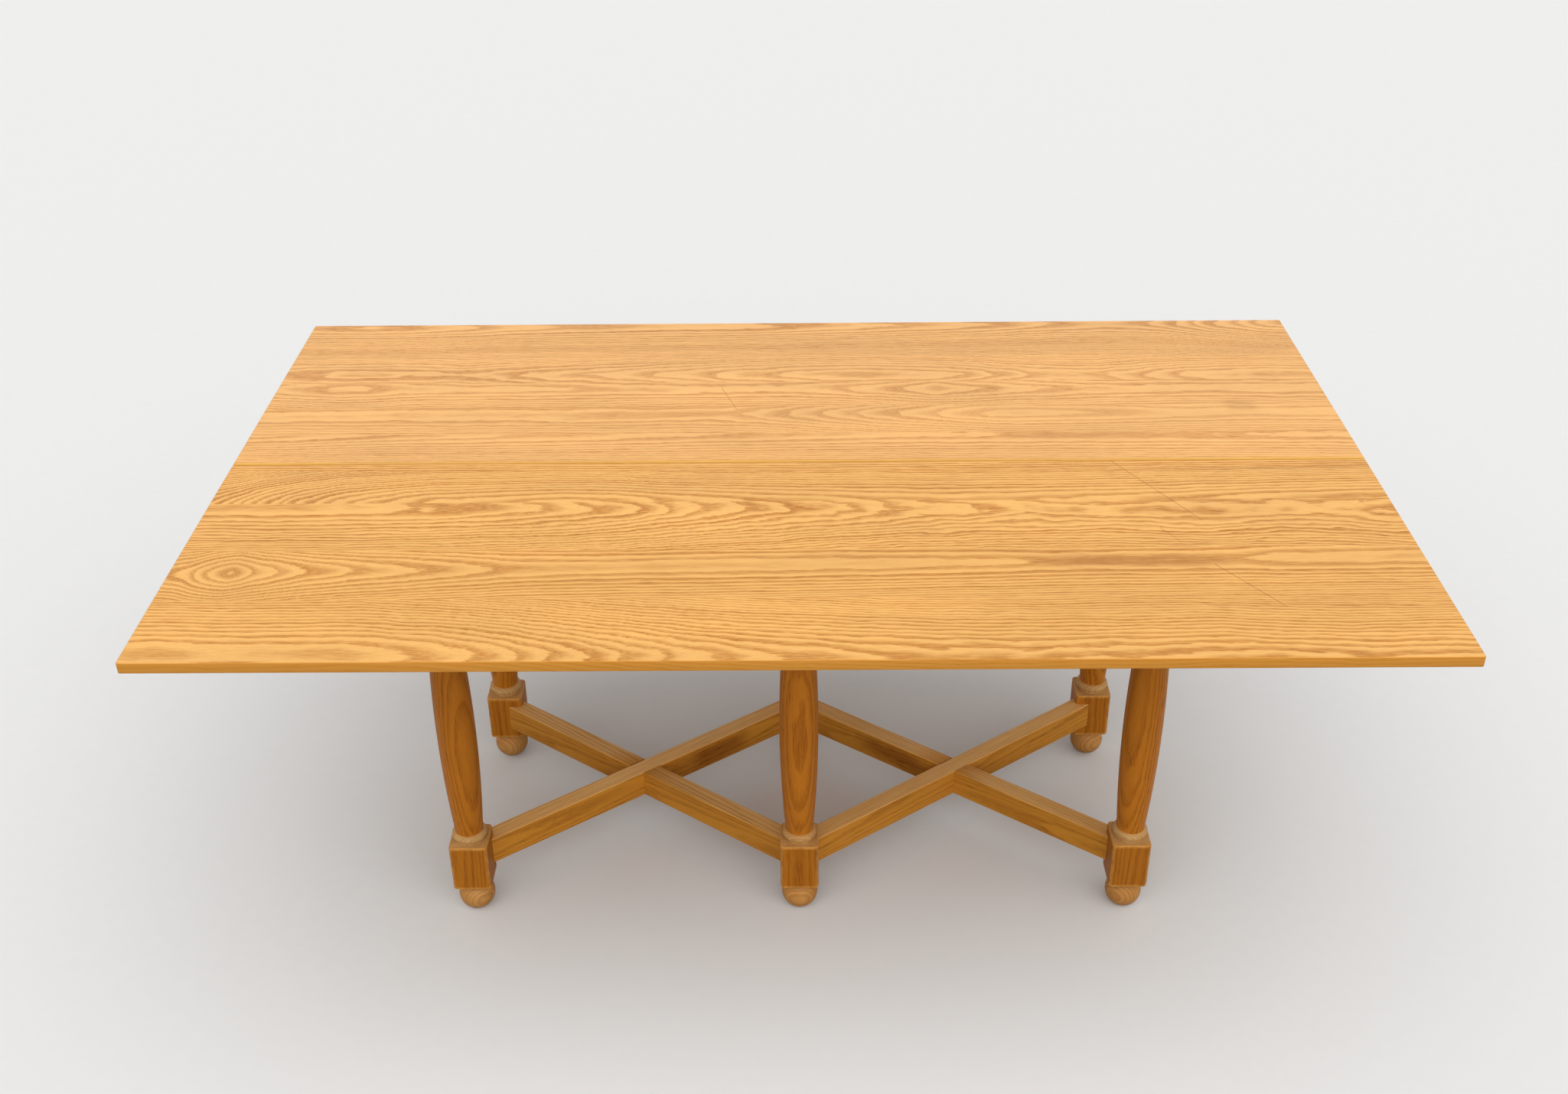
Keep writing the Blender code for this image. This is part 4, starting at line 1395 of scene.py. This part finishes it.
        # Collars, beads and block ends come out pale, partly painted light.
        parts = [
            self._turned(*ball, self.ball_bare),
            self._turned(neck, np.array([lower - self.neck_height, lower]), self.neck_bare),
            self._square(lower, middle),
            self._turned(collar, low_collar, self.collar_pale_and_lit),
            self._bead(low_bead),
            self._shaft(low_bead + bead_half, high_bead - bead_half),
            self._bead(high_bead),
            self._turned(collar, high_collar, self.collar_pale_and_lit),
            self._square(upper, top),
        ]
        return tuple(np.concatenate(column) for column in zip(*parts))

    @staticmethod
    def _turned(radius: np.ndarray, level: np.ndarray, raw: float) -> tuple[np.ndarray, ...]:
        """Turned rings of given radii and levels, all equally pale."""
        return level, radius, np.full(len(level), -1.0), np.zeros(len(level)), np.full(len(level), raw)

    def _square(self, low: float, high: float) -> tuple[np.ndarray, ...]:
        """Square rings of a block, whose ends round over in quarter circles.

        Args:
            low: Level of its lower end.
            high: Level of its upper end.

        Returns:
            The columns of the outline.
        """
        arc = quarter(ARC_STEPS)
        count = self.block_rings
        inset = self.shoulder * (1 - np.sin(arc))
        drop = self.shoulder * (1 - np.cos(arc))
        fading = self.arris_bare * np.cos(arc)
        # Block ends are painted pale, painted light from above on the upper ends.
        end, face = [self.end_bare], np.full(count, self.face_bare)
        middle = np.linspace(low + self.block_margin, high - self.block_margin, count)
        level = np.concatenate([[low], low + drop, middle, high - drop[::-1], [high]])
        rim = [2 * self.shoulder]
        inset = np.concatenate([rim, inset, np.zeros(count), inset[::-1], rim])
        worn = np.concatenate([[0.0], np.ones(len(arc)), np.zeros(count), np.ones(len(arc)), [0.0]])
        raw = np.concatenate([end, fading, face, fading[::-1], end])
        return level, np.zeros(len(level)), inset, worn, raw

    def _bead(self, level: float) -> tuple[np.ndarray, ...]:
        """Rings of a bead, an arc that bulges from the leg.

        Args:
            level: Level of its crown.

        Returns:
            The columns of the outline.
        """
        swing = np.linspace(-self.bead_spread, self.bead_spread, self.bead_rings)
        radius = self.bead_reach - self.bead_radius + self.bead_radius * np.cos(swing)
        return self._turned(radius, level + self.bead_radius * np.sin(swing), self.bead_pale_and_lit)

    def _shaft(self, low: float, high: float) -> tuple[np.ndarray, ...]:
        """Rings of the shaft, whose radius swells as a parabola towards its middle.

        Args:
            low: Level of its lower end.
            high: Level of its upper end.

        Returns:
            The columns of the outline.
        """
        share = np.linspace(0.0, 1.0, self.shaft_rings)
        radius = self.shaft_middle - (self.shaft_middle - self.shaft_end) * (1 - 2 * share) ** 2
        return self._turned(radius, low + (high - low) * share, 0.0)

    def build(self, name: str, x: float, y: float) -> Object:
        """Makes one leg as a single skin of rings about its axis.

        Args:
            name: The object's name.
            x: X of the leg's axis.
            y: Y of the leg's axis.

        Returns:
            The leg.
        """
        section = self.section()
        level, radius, inset, worn, raw = self.outline()
        round_unit = section / np.linalg.norm(section, axis=1)[:, None]
        square = section[None] * (1 - np.clip(inset, 0, None) / (self.blank / 2))[:, None, None]
        turned = round_unit[None] * radius[:, None, None]
        plan = np.where((inset >= 0)[:, None, None], square, turned)
        height = np.broadcast_to(level[:, None, None], plan.shape[:2] + (1,))
        rings = np.concatenate([plan + np.array([x, y]), height], -1)
        turn = np.degrees(np.arctan2(section[:, 1], section[:, 0])) % 90 - 45
        corner = np.clip(1 - np.abs(turn) / self.corner_span, 0, 1)
        edge = np.maximum(worn[:, None], (inset >= 0)[:, None] * corner[None])
        return tube(name, rings, edge=edge, raw=np.broadcast_to(raw[:, None], edge.shape))


@dataclass(frozen=True)
class LegSet:
    """The six legs, each from its own blank of oak.

    Attributes:
        pitch: Distance between neighbouring legs of a row.
        row: Distance of each row from the table's middle.
        leg: The turning.
        middle: Level of the middle of a leg.
        pith_turn: Degrees from +X to the pith of a middle leg.
        pith_swing: How much further or less those of the outer legs lie.
    """

    pitch: float = 0.557
    row: float = 0.212
    leg: TurnedLeg = TurnedLeg()
    middle: float = 0.37
    pith_turn: float = 90.0
    pith_swing: float = 40.0

    def build(self) -> None:
        """Makes the legs and sets them on the base."""
        for number, (row, side) in enumerate((row, side) for row in Row for side in Side):
            place = f"{row.name.lower()}_{side.name.lower()}"
            x, y = side.value * self.pitch, row.value * self.row
            piece = self.leg.build(f"oak_leg_{place}", x, y)
            turn = math.radians(self.pith_turn + self.pith_swing * side.value * row.value)
            oak = SawnOak(
                origin=(x, y, self.middle),
                grain=UP,
                toward=(math.cos(turn), math.sin(turn), 0.0),
                pith=0.045 + 0.006 * ((number * 2) % 5),
                lean=0.012 * (number % 3 - 1),
                first=0.0150 + 0.0012 * (number % 4),
                seed=3.0 + 2.3 * number,
                tone=0.93 + 0.03 * ((number * 2) % 4),
                tint=LEG_TINT,
            )
            settle(piece, Body.BASE, Slot.LEG, oak.material(f"leg_oak_{place}"), f"leg_{place}")


STRETCHER_STAINS: dict[str, tuple[Stain, ...]] = {
    "stretcher_left_over": (Stain(0.070, 0.235, 0.000, 0.040, 0.62),),
    "stretcher_right_under": (Stain(-0.215, -0.030, 0.003, 0.026, 0.62),),
}


@dataclass(frozen=True)
class StretcherSet:
    """Two crossed pairs of flat bars, scribed to the legs' blocks and half lapped at the crossing.

    Attributes:
        legs: The legs that they tie.
        inset: How far a bar's end lies inside the legs' axes, across the table.
        level: Level of the bars' middle.
        width: Of a bar, across it.
        height: Of a bar.
        ease: Radius of the arrises.
        gap: Space between a bar and what it meets.
        split: How far above and below the middle the first points on a bar's sides lie.
        flat_points: Points across a bar's upper face.
        rings: Rings along a bar.
        bare: How much paler the upper faces are: painted light from above on the bars' tops.
    """

    legs: LegSet = LegSet()
    inset: float = 0.007
    level: float = 0.10475
    width: float = 0.0315
    height: float = 0.0505
    ease: float = 0.0016
    gap: float = 0.0003
    split: float = 0.004
    flat_points: int = 13
    rings: int = 9
    bare: float = 0.85

    @property
    def angle(self) -> float:
        """Angle between a bar and the table's length."""
        return math.atan2(2 * (self.legs.row - self.inset), self.legs.pitch)

    @property
    def span(self) -> float:
        """Length of a bar's middle line from leg to leg; its ends lie a little inside the legs' axes."""
        return math.hypot(self.legs.pitch, 2 * (self.legs.row - self.inset))

    def build(self) -> None:
        """Makes the four bars and sets them on the base."""
        for number, (bay, side) in enumerate((("left", -1), ("right", 1))):
            for kind, slope in (("over", 1), ("under", -1)):
                name = f"stretcher_{bay}_{kind}"
                centre = np.array([side * self.legs.pitch / 2, 0.0, self.level])
                bar = self._bar(f"oak_{name}", centre, slope)
                cut(bar, self._lap(centre, slope, kind == "over"))
                settle(bar, Body.BASE, Slot.LEG, self._oak(name, centre, slope, number, kind), name)

    def _oak(self, name: str, centre: np.ndarray, slope: int, number: int, kind: str) -> Material:
        """The bar's own oak, with its grain along the bar.

        Args:
            name: The bar's name.
            centre: Middle of the crossing.
            slope: 1 for a bar from front left to rear right, else -1.
            number: The bay's number.
            kind: Whether the bar laps over or under.

        Returns:
            The material.
        """
        run = (math.cos(self.angle), slope * math.sin(self.angle), 0.0)
        lift = 0.35 + 0.3 * number if kind == "over" else -0.6 + 0.25 * number
        flat = math.hypot(1.0, lift)
        oak = SawnOak(
            origin=tuple(centre),
            grain=run,
            toward=(-run[1] / flat, run[0] / flat, lift / flat),
            pith=0.038 + 0.014 * number,
            lean=0.020 * slope,
            first=0.0160,
            seed=21.0 + 4.1 * number + (1.7 if kind == "over" else 0.0),
            tone=1.06 if kind == "over" else 1.0,
            tint=BAR_TINT,
            stains=STRETCHER_STAINS.get(name, ()),
        )
        return oak.material(f"{name}_oak")

    def _section(self) -> tuple[np.ndarray, np.ndarray, np.ndarray]:
        """The upper half of the bar's section, from one side to the other.

        Returns:
            Offsets across the bar, heights above its middle, and how edge-like each point is.
        """
        arc = quarter(ARC_STEPS)
        half_width, half_height = self.width / 2, self.height / 2
        rise_x = half_width - self.ease * (1 - np.cos(arc))
        rise_z = half_height - self.ease * (1 - np.sin(arc))
        inner = half_width - 2 * self.ease
        flat = np.linspace(inner, -inner, self.flat_points)
        side = np.full(2, half_width)
        across = np.concatenate([side, rise_x, flat, -rise_x[::-1], -side])
        wall = np.array([self.split, half_height - 2 * self.ease])
        face = np.full(self.flat_points, half_height)
        height = np.concatenate([wall, rise_z, face, rise_z[::-1], wall[::-1]])
        bend, plain = np.sin(2 * arc), np.zeros(2)
        edge = np.concatenate([plain, bend, np.zeros(self.flat_points), bend, plain])
        return across, height, edge

    def _reach(self, across: np.ndarray, slope: int) -> np.ndarray:
        """Distance from the end of a bar's middle line to where a line along the bar leaves the block.

        The block is the space within its two near faces and the chamfer between them, so the line
        leaves it at the nearest of the three planes.

        Args:
            across: Offsets of the lines across the bar.
            slope: The bar's slope, which sets which side the long face is on.

        Returns:
            One distance for each line.
        """
        half = self.legs.leg.blank / 2 + self.gap
        cosine, sine = math.cos(self.angle), math.sin(self.angle)
        shift = across * slope
        end_face = (half + shift * sine) / cosine
        long_face = (half - self.inset - shift * cosine) / sine
        both = 2 * half - self.inset - self.legs.leg.chamfer
        corner = (both + shift * (sine - cosine)) / (cosine + sine)
        return np.minimum(np.minimum(end_face, long_face), corner)

    def _bar(self, name: str, centre: np.ndarray, slope: int) -> Object:
        """A bar as its section carried from one block to the other, each point ending at the block.

        Args:
            name: The object's name.
            centre: Middle of the crossing.
            slope: 1 for a bar from front left to rear right, else -1.

        Returns:
            The bar.
        """
        upper, height, edge = self._section()
        across = np.concatenate([upper, upper[::-1]])
        level = np.concatenate([height, -height[::-1]])
        start = -self.span / 2 + self._reach(across, slope)
        end = self.span / 2 - self._reach(-across, slope)
        share = np.linspace(0.0, 1.0, self.rings)[:, None]
        along = start + (end - start) * share
        run = np.array([math.cos(self.angle), slope * math.sin(self.angle)])
        side = np.array([-run[1], run[0]])
        plan = along[..., None] * run + across[None, :, None] * side
        height = np.broadcast_to(level[None, :, None], plan.shape[:2] + (1,))
        rings = np.concatenate([plan, height], -1) + centre
        count, points = rings.shape[:2]
        half = points // 2
        first = np.arange(half - 1)
        mirror = points - 1 - first
        near = np.stack([first, first + 1, mirror - 1, mirror], -1)
        far = near[:, ::-1] + (count - 1) * points
        faces = np.concatenate([ring_faces(count, points)[:, ::-1], near, far])
        marks = np.broadcast_to(np.concatenate([edge, edge[::-1]]), (count, points))
        # Upper faces are painted pale: painted light from above on the bars' tops.
        raw = np.where(level > self.height / 2 - self.ease, self.bare, 0.0)
        raw = np.broadcast_to(raw, (count, points))
        return mesh_object(name, rings.reshape(-1, 3), faces, edge=marks, raw=raw)

    def _lap(self, centre: np.ndarray, slope: int, over: bool) -> Object:
        """The notch that lets the other bar through, half of the bar's height deep.

        Args:
            centre: Middle of the crossing.
            slope: Slope of the bar that is notched.
            over: Whether that bar runs over the other.

        Returns:
            The cutter, a box along the other bar.
        """
        half = self.width / 2 + self.gap
        low, high = (-self.height, self.gap / 2) if over else (-self.gap / 2, self.height)
        notch = block("lap", (-self.span / 4, -half, low), (self.span / 4, half, high))
        turn = Matrix.Rotation(-slope * self.angle, 4, "Z")
        notch.data.transform(Matrix.Translation(Vector(centre)) @ turn)
        return notch


@dataclass(frozen=True)
class UnderFrame:
    """Aprons and the middle rail between the legs, housed for the guide rails.

    Attributes:
        ease: Radius of the arrises.
        tenon: Length of the tenons, which the legs hide.
        gap: Space around a guide rail's end in its housing.
        open_top: How far a housing's cutter runs past the guide rail's top.
    """

    ease: float = 0.0016
    tenon: float = 0.020
    gap: float = 0.0003
    open_top: float = 0.01

    def build(self) -> None:
        """Makes the rails and sets them on the base."""
        rails = nodes_named("apron_") + nodes_named("cross_rail")
        for number, node in enumerate(rails):
            low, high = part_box(node)
            lengthwise = high.x - low.x > high.y - low.y
            grain, toward = (ALONG, ACROSS) if lengthwise else (ACROSS, ALONG)
            inset = Vector(grain) * self.tenon
            rail = slab(f"oak_{node}", low + inset, high - inset, self.ease)
            if lengthwise:
                for guide in nodes_named("guide_rail"):
                    self._house(rail, guide, low, high)
            oak = SawnOak(
                origin=tuple((low + high) / 2),
                grain=grain,
                toward=toward,
                pith=0.030 + 0.008 * (number % 3),
                lean=0.05 * (1 - 2 * (number % 2)),
                first=0.0180,
                seed=41.0 + 2.9 * number,
                tone=0.96 + 0.03 * (number % 3),
                tint=FRAME_TINT,
            )
            settle(rail, Body.BASE, Slot.FRAME, oak.material(f"{node}_oak"), node)

    def _house(self, rail: Object, guide: str, low: Vector, high: Vector) -> None:
        """Cuts the housing for a guide rail's end, if it meets the rail.

        Args:
            rail: The long apron.
            guide: The guide rail's CAD node.
            low: Lowest corner of the apron.
            high: Highest corner of the apron.
        """
        guide_low, guide_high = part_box(guide)
        if guide_low.x > high.x or guide_high.x < low.x:
            return
        reach = Vector((self.gap, self.gap, self.gap))
        top = Vector((0.0, 0.0, self.open_top))
        cut(rail, block("housing", guide_low - reach, guide_high + reach + top))


@dataclass(frozen=True)
class SlideGear:
    """Grooved guide rails and tongued battens under the top.

    Attributes:
        ease: Width of the eased edges.
        guide_groove: Depth of a guide's groove, height of the lip over it, and width of its mouth.
        tongue: Reach and thickness of a batten's tongues.
    """

    ease: float = 0.0008
    guide_groove: tuple[float, float, float] = (0.0147, 0.016, 0.0134)
    tongue: tuple[float, float] = (0.014, 0.012)

    def build(self) -> None:
        """Makes guides and battens and sets them on their bodies."""
        guides = nodes_named("guide_rail")
        for number, node in enumerate(guides):
            low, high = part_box(node)
            inward = 1.0 if (node.endswith("outer") == ("left" in node)) else -1.0
            self._set(node, Body.BASE, self._guide_section(low, high, inward), number)
        for number, node in enumerate(nodes_named("slide_batten"), len(guides)):
            low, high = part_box(node)
            self._set(node, Body.CARRIAGE, self._batten_section(low, high), number)

    def _set(self, node: str, body: Body, section: np.ndarray, number: int) -> None:
        """Carries a section along Y over the length of a CAD node and stands it in for the node.

        Args:
            node: The CAD node.
            body: What it rides on.
            section: X and Z of the section's corners, clockwise seen along +Y.
            number: A number that sets this piece's chances apart.
        """
        low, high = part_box(node)
        x, z = section.T
        ends = [np.stack([x, np.full_like(x, y), z], -1) for y in (low.y, high.y)]
        piece = tube(f"oak_{node}", np.stack(ends))
        bevel = piece.modifiers.new("eased edges", "BEVEL")
        bevel.width = self.ease
        bevel.segments = 2
        bevel.limit_method = "ANGLE"
        bevel.harden_normals = True
        oak = SawnOak(
            origin=tuple((low + high) / 2),
            grain=ACROSS,
            toward=UP,
            pith=0.035 + 0.01 * (number % 2),
            lean=0.03,
            first=0.0150,
            seed=71.0 + 3.7 * number,
            tint=BARE_TINT,
        )
        settle(piece, body, Slot.SLIDE, oak.material(f"{node}_oak"), node)

    def _guide_section(self, low: Vector, high: Vector, inward: float) -> np.ndarray:
        """A rectangle with a groove in the side that faces the batten.

        Args:
            low: Lowest corner of the guide.
            high: Highest corner of the guide.
            inward: 1 where the groove opens to +X, else -1.

        Returns:
            X and Z of the corners.
        """
        depth, lip, mouth = self.guide_groove
        half, middle = (high.x - low.x) / 2, (high.x + low.x) / 2
        top, bottom = high.z, low.z
        upper, lower = top - lip, top - lip - mouth
        right = np.array([
            (-half, bottom), (half, bottom), (half, lower), (half - depth, lower),
            (half - depth, upper), (half, upper), (half, top), (-half, top),
        ])
        turned = right if inward > 0 else right[::-1] * np.array([-1.0, 1.0])
        return (turned + np.array([middle, 0.0]))[::-1]

    def _batten_section(self, low: Vector, high: Vector) -> np.ndarray:
        """A rectangle with a tongue along the foot of each side.

        Args:
            low: Lowest corner of the batten.
            high: Highest corner of the batten.

        Returns:
            X and Z of the corners.
        """
        reach, thick = self.tongue
        half, middle = (high.x - low.x) / 2, (high.x + low.x) / 2
        stem, step = half - reach, low.z + thick
        corners = np.array([
            (-half, low.z), (half, low.z), (half, step), (stem, step),
            (stem, high.z), (-stem, high.z), (-stem, step), (-half, step),
        ])
        return (corners + np.array([middle, 0.0]))[::-1]


@dataclass(frozen=True)
class SmallParts:
    """Hinges, screws, dowels and felt, whose solids stay and get their finish here.

    Attributes:
        hinge: Finish of barrels and links.
        screw: Finish of the batten screws.
        felt: Finish of the felt strips.
    """

    hinge: PlatedSteel = PlatedSteel(
        colour=(0.62, 0.57, 0.46, 1.0),
        tarnish=(0.34, 0.28, 0.19, 1.0),
        roughness=0.30,
        stretch=(90.0, 900.0, 900.0),
    )
    screw: PlatedSteel = PlatedSteel(
        colour=(0.56, 0.55, 0.52, 1.0),
        tarnish=(0.33, 0.30, 0.26, 1.0),
        roughness=0.34,
        stretch=(700.0, 700.0, 60.0),
    )
    felt: FeltFinish = FeltFinish()

    def build(self) -> None:
        """Dresses each small part."""
        finishes = (
            ("hinge_", Slot.HINGE, self.hinge.material("hinge_plate")),
            ("batten_screw", Slot.SCREW, self.screw.material("screw_plate")),
            ("felt_strip", Slot.FELT, self.felt.material("frame_felt")),
        )
        for start, slot, material in finishes:
            for node in nodes_named(start):
                dress(node, material)
        for number, node in enumerate(nodes_named("dowel_")):
            low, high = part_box(node)
            slope = 1 if "over" in node else -1
            run = Vector((high.x - low.x, (high.y - low.y) * slope, 0.0)).normalized()
            oak = SawnOak(
                origin=tuple((low + high) / 2),
                grain=tuple(run),
                toward=UP,
                pith=0.02,
                first=0.009,
                seed=91.0 + number,
                tint=BARE_TINT,
            )
            dress(node, oak.material(f"{node}_wood"))


@dataclass(frozen=True)
class Studio:
    """A pale floor, soft light and the camera.

    Attributes:
        image: Width and height of the picture in pixels.
        focal: Focal length in pixels of that picture.
        pitch: How far the camera looks down.
        yaw: How far it looks to the right.
        roll: How far it leans.
        eye: Where it stands.
        sensor: Width of the camera's sensor in millimetres.
        clip: Nearest and farthest distance that it sees.
        floor_size: Side of the floor.
        floor_drop: How far the floor lies under the feet.
        floor_seen: Its colour to the camera and in reflections.
        floor_bounce: Its colour in scattered light.
        floor_tooth: Noise of its surface.
        floor_mottle: How far that noise changes its colour.
        floor_roughness: Of its surface.
        floor_gloss: Strength of its mirror part.
        ambient: Strength of the even light.
        sun_power: Strength of the soft lamp.
        sun_spread: Angle over which the lamp spreads.
        sun_tilt: How far the lamp leans about X and Y.
    """

    image: tuple[int, int] = (2049, 1430)
    focal: float = 2217.5
    pitch: float = 0.5416
    yaw: float = -0.0085
    roll: float = -0.0098
    eye: Point = (-0.0025, -2.4187, 2.0441)
    sensor: float = 36.0
    clip: tuple[float, float] = (0.05, 200.0)
    floor_size: float = 60.0
    floor_drop: float = 0.0002
    floor_seen: Colour = (0.86, 0.86, 0.85, 1.0)
    floor_bounce: Colour = (0.20, 0.20, 0.20, 1.0)
    floor_tooth: Mottle = Mottle(40.0, 40.0, 3.0)
    floor_mottle: float = 0.03
    floor_roughness: float = 0.9
    floor_gloss: float = 0.1
    ambient: float = 0.45
    sun_power: float = 2.2
    sun_spread: float = math.radians(100.0)
    sun_tilt: tuple[float, float] = (math.radians(38.0), math.radians(6.0))

    def build(self) -> None:
        """Makes the stage, the lights and the camera."""
        bpy.context.scene.view_settings.view_transform = "Standard"
        self._floor()
        self._world()
        self._sun()
        self._camera()

    def _floor(self) -> None:
        """A wide plane just under the feet, pale to straight views and greyer in scattered light."""
        half, level = self.floor_size / 2, -self.floor_drop
        corners = [(-half, -half, level), (half, -half, level), (half, half, level), (-half, half, level)]
        floor = mesh_object("floor", np.array(corners), [[0, 1, 2, 3]])
        sheet = Sheet(bpy.data.materials.new("pale_floor"))
        x, y, _ = sheet.place()
        tooth = self.floor_tooth.draw(sheet, x, y)
        colour = sheet.mix(self._seen(sheet), self.floor_bounce, self.floor_seen)
        sheet.feed("Base Color", sheet.scale(colour, 1.0 + tooth * self.floor_mottle))
        sheet.feed("Roughness", self.floor_roughness)
        sheet.feed("Specular IOR Level", self.floor_gloss)
        floor.data.materials.append(sheet.owner)

    @staticmethod
    def _seen(sheet: Sheet) -> Signal:
        """Tells straight views from scattered light.

        Args:
            sheet: The sheet to draw on.

        Returns:
            One for rays from the camera, off gloss or through glass, and zero for the rest.
        """
        path = sheet.node("ShaderNodeLightPath")
        straight = sheet.math("MAXIMUM", sheet.out(path, "Is Camera Ray"), sheet.out(path, "Is Glossy Ray"))
        return sheet.math("MAXIMUM", straight, sheet.out(path, "Is Transmission Ray"))

    def _world(self) -> None:
        """Even soft light. Straight views and reflections see plain white."""
        world = bpy.data.worlds.new("studio")
        bpy.context.scene.world = world
        sheet = Sheet(world, "Background")
        inputs = {"Value": self._seen(sheet), "To Min": self.ambient, "To Max": 1.0}
        sheet.feed("Strength", sheet.out(sheet.node("ShaderNodeMapRange", None, inputs)))
        sheet.feed("Color", grey(1.0))

    def _sun(self) -> None:
        """A very soft lamp from above and a little to the front, as even over the floor as over the top."""
        light = bpy.data.lights.new("soft_sun", "SUN")
        light.energy = self.sun_power
        light.angle = self.sun_spread
        lamp = bpy.data.objects.new("soft_sun", light)
        lamp.rotation_euler = (*self.sun_tilt, 0.0)
        bpy.context.scene.collection.objects.link(lamp)

    def _camera(self) -> None:
        """The camera, from its pitch, yaw and roll."""
        camera = bpy.data.cameras.new("camera")
        camera.sensor_width = self.sensor
        camera.lens = self.sensor * self.focal / self.image[0]
        camera.clip_start, camera.clip_end = self.clip
        flat = math.cos(self.pitch)
        forward = Vector((math.sin(self.yaw) * flat, math.cos(self.yaw) * flat, -math.sin(self.pitch)))
        level = Vector((math.cos(self.yaw), -math.sin(self.yaw), 0.0))
        rise = level.cross(forward)
        right = math.cos(self.roll) * level + math.sin(self.roll) * rise
        up = math.cos(self.roll) * rise - math.sin(self.roll) * level
        stand = bpy.data.objects.new("camera", camera)
        columns = Matrix((right, up, -forward)).transposed().to_4x4()
        stand.matrix_world = Matrix.Translation(self.eye) @ columns
        bpy.context.scene.collection.objects.link(stand)
        bpy.context.scene.camera = stand


def main() -> None:
    """Builds the studio and each sub-assembly in turn."""
    logging.basicConfig(level=logging.INFO, format="%(name)s: %(message)s")
    Studio().build()
    for assembly in (LegSet(), StretcherSet(), UnderFrame(), SlideGear(), TableTop(), SmallParts()):
        LOG.info("building %s", type(assembly).__name__)
        assembly.build()


if __name__ == "__main__":
    main()
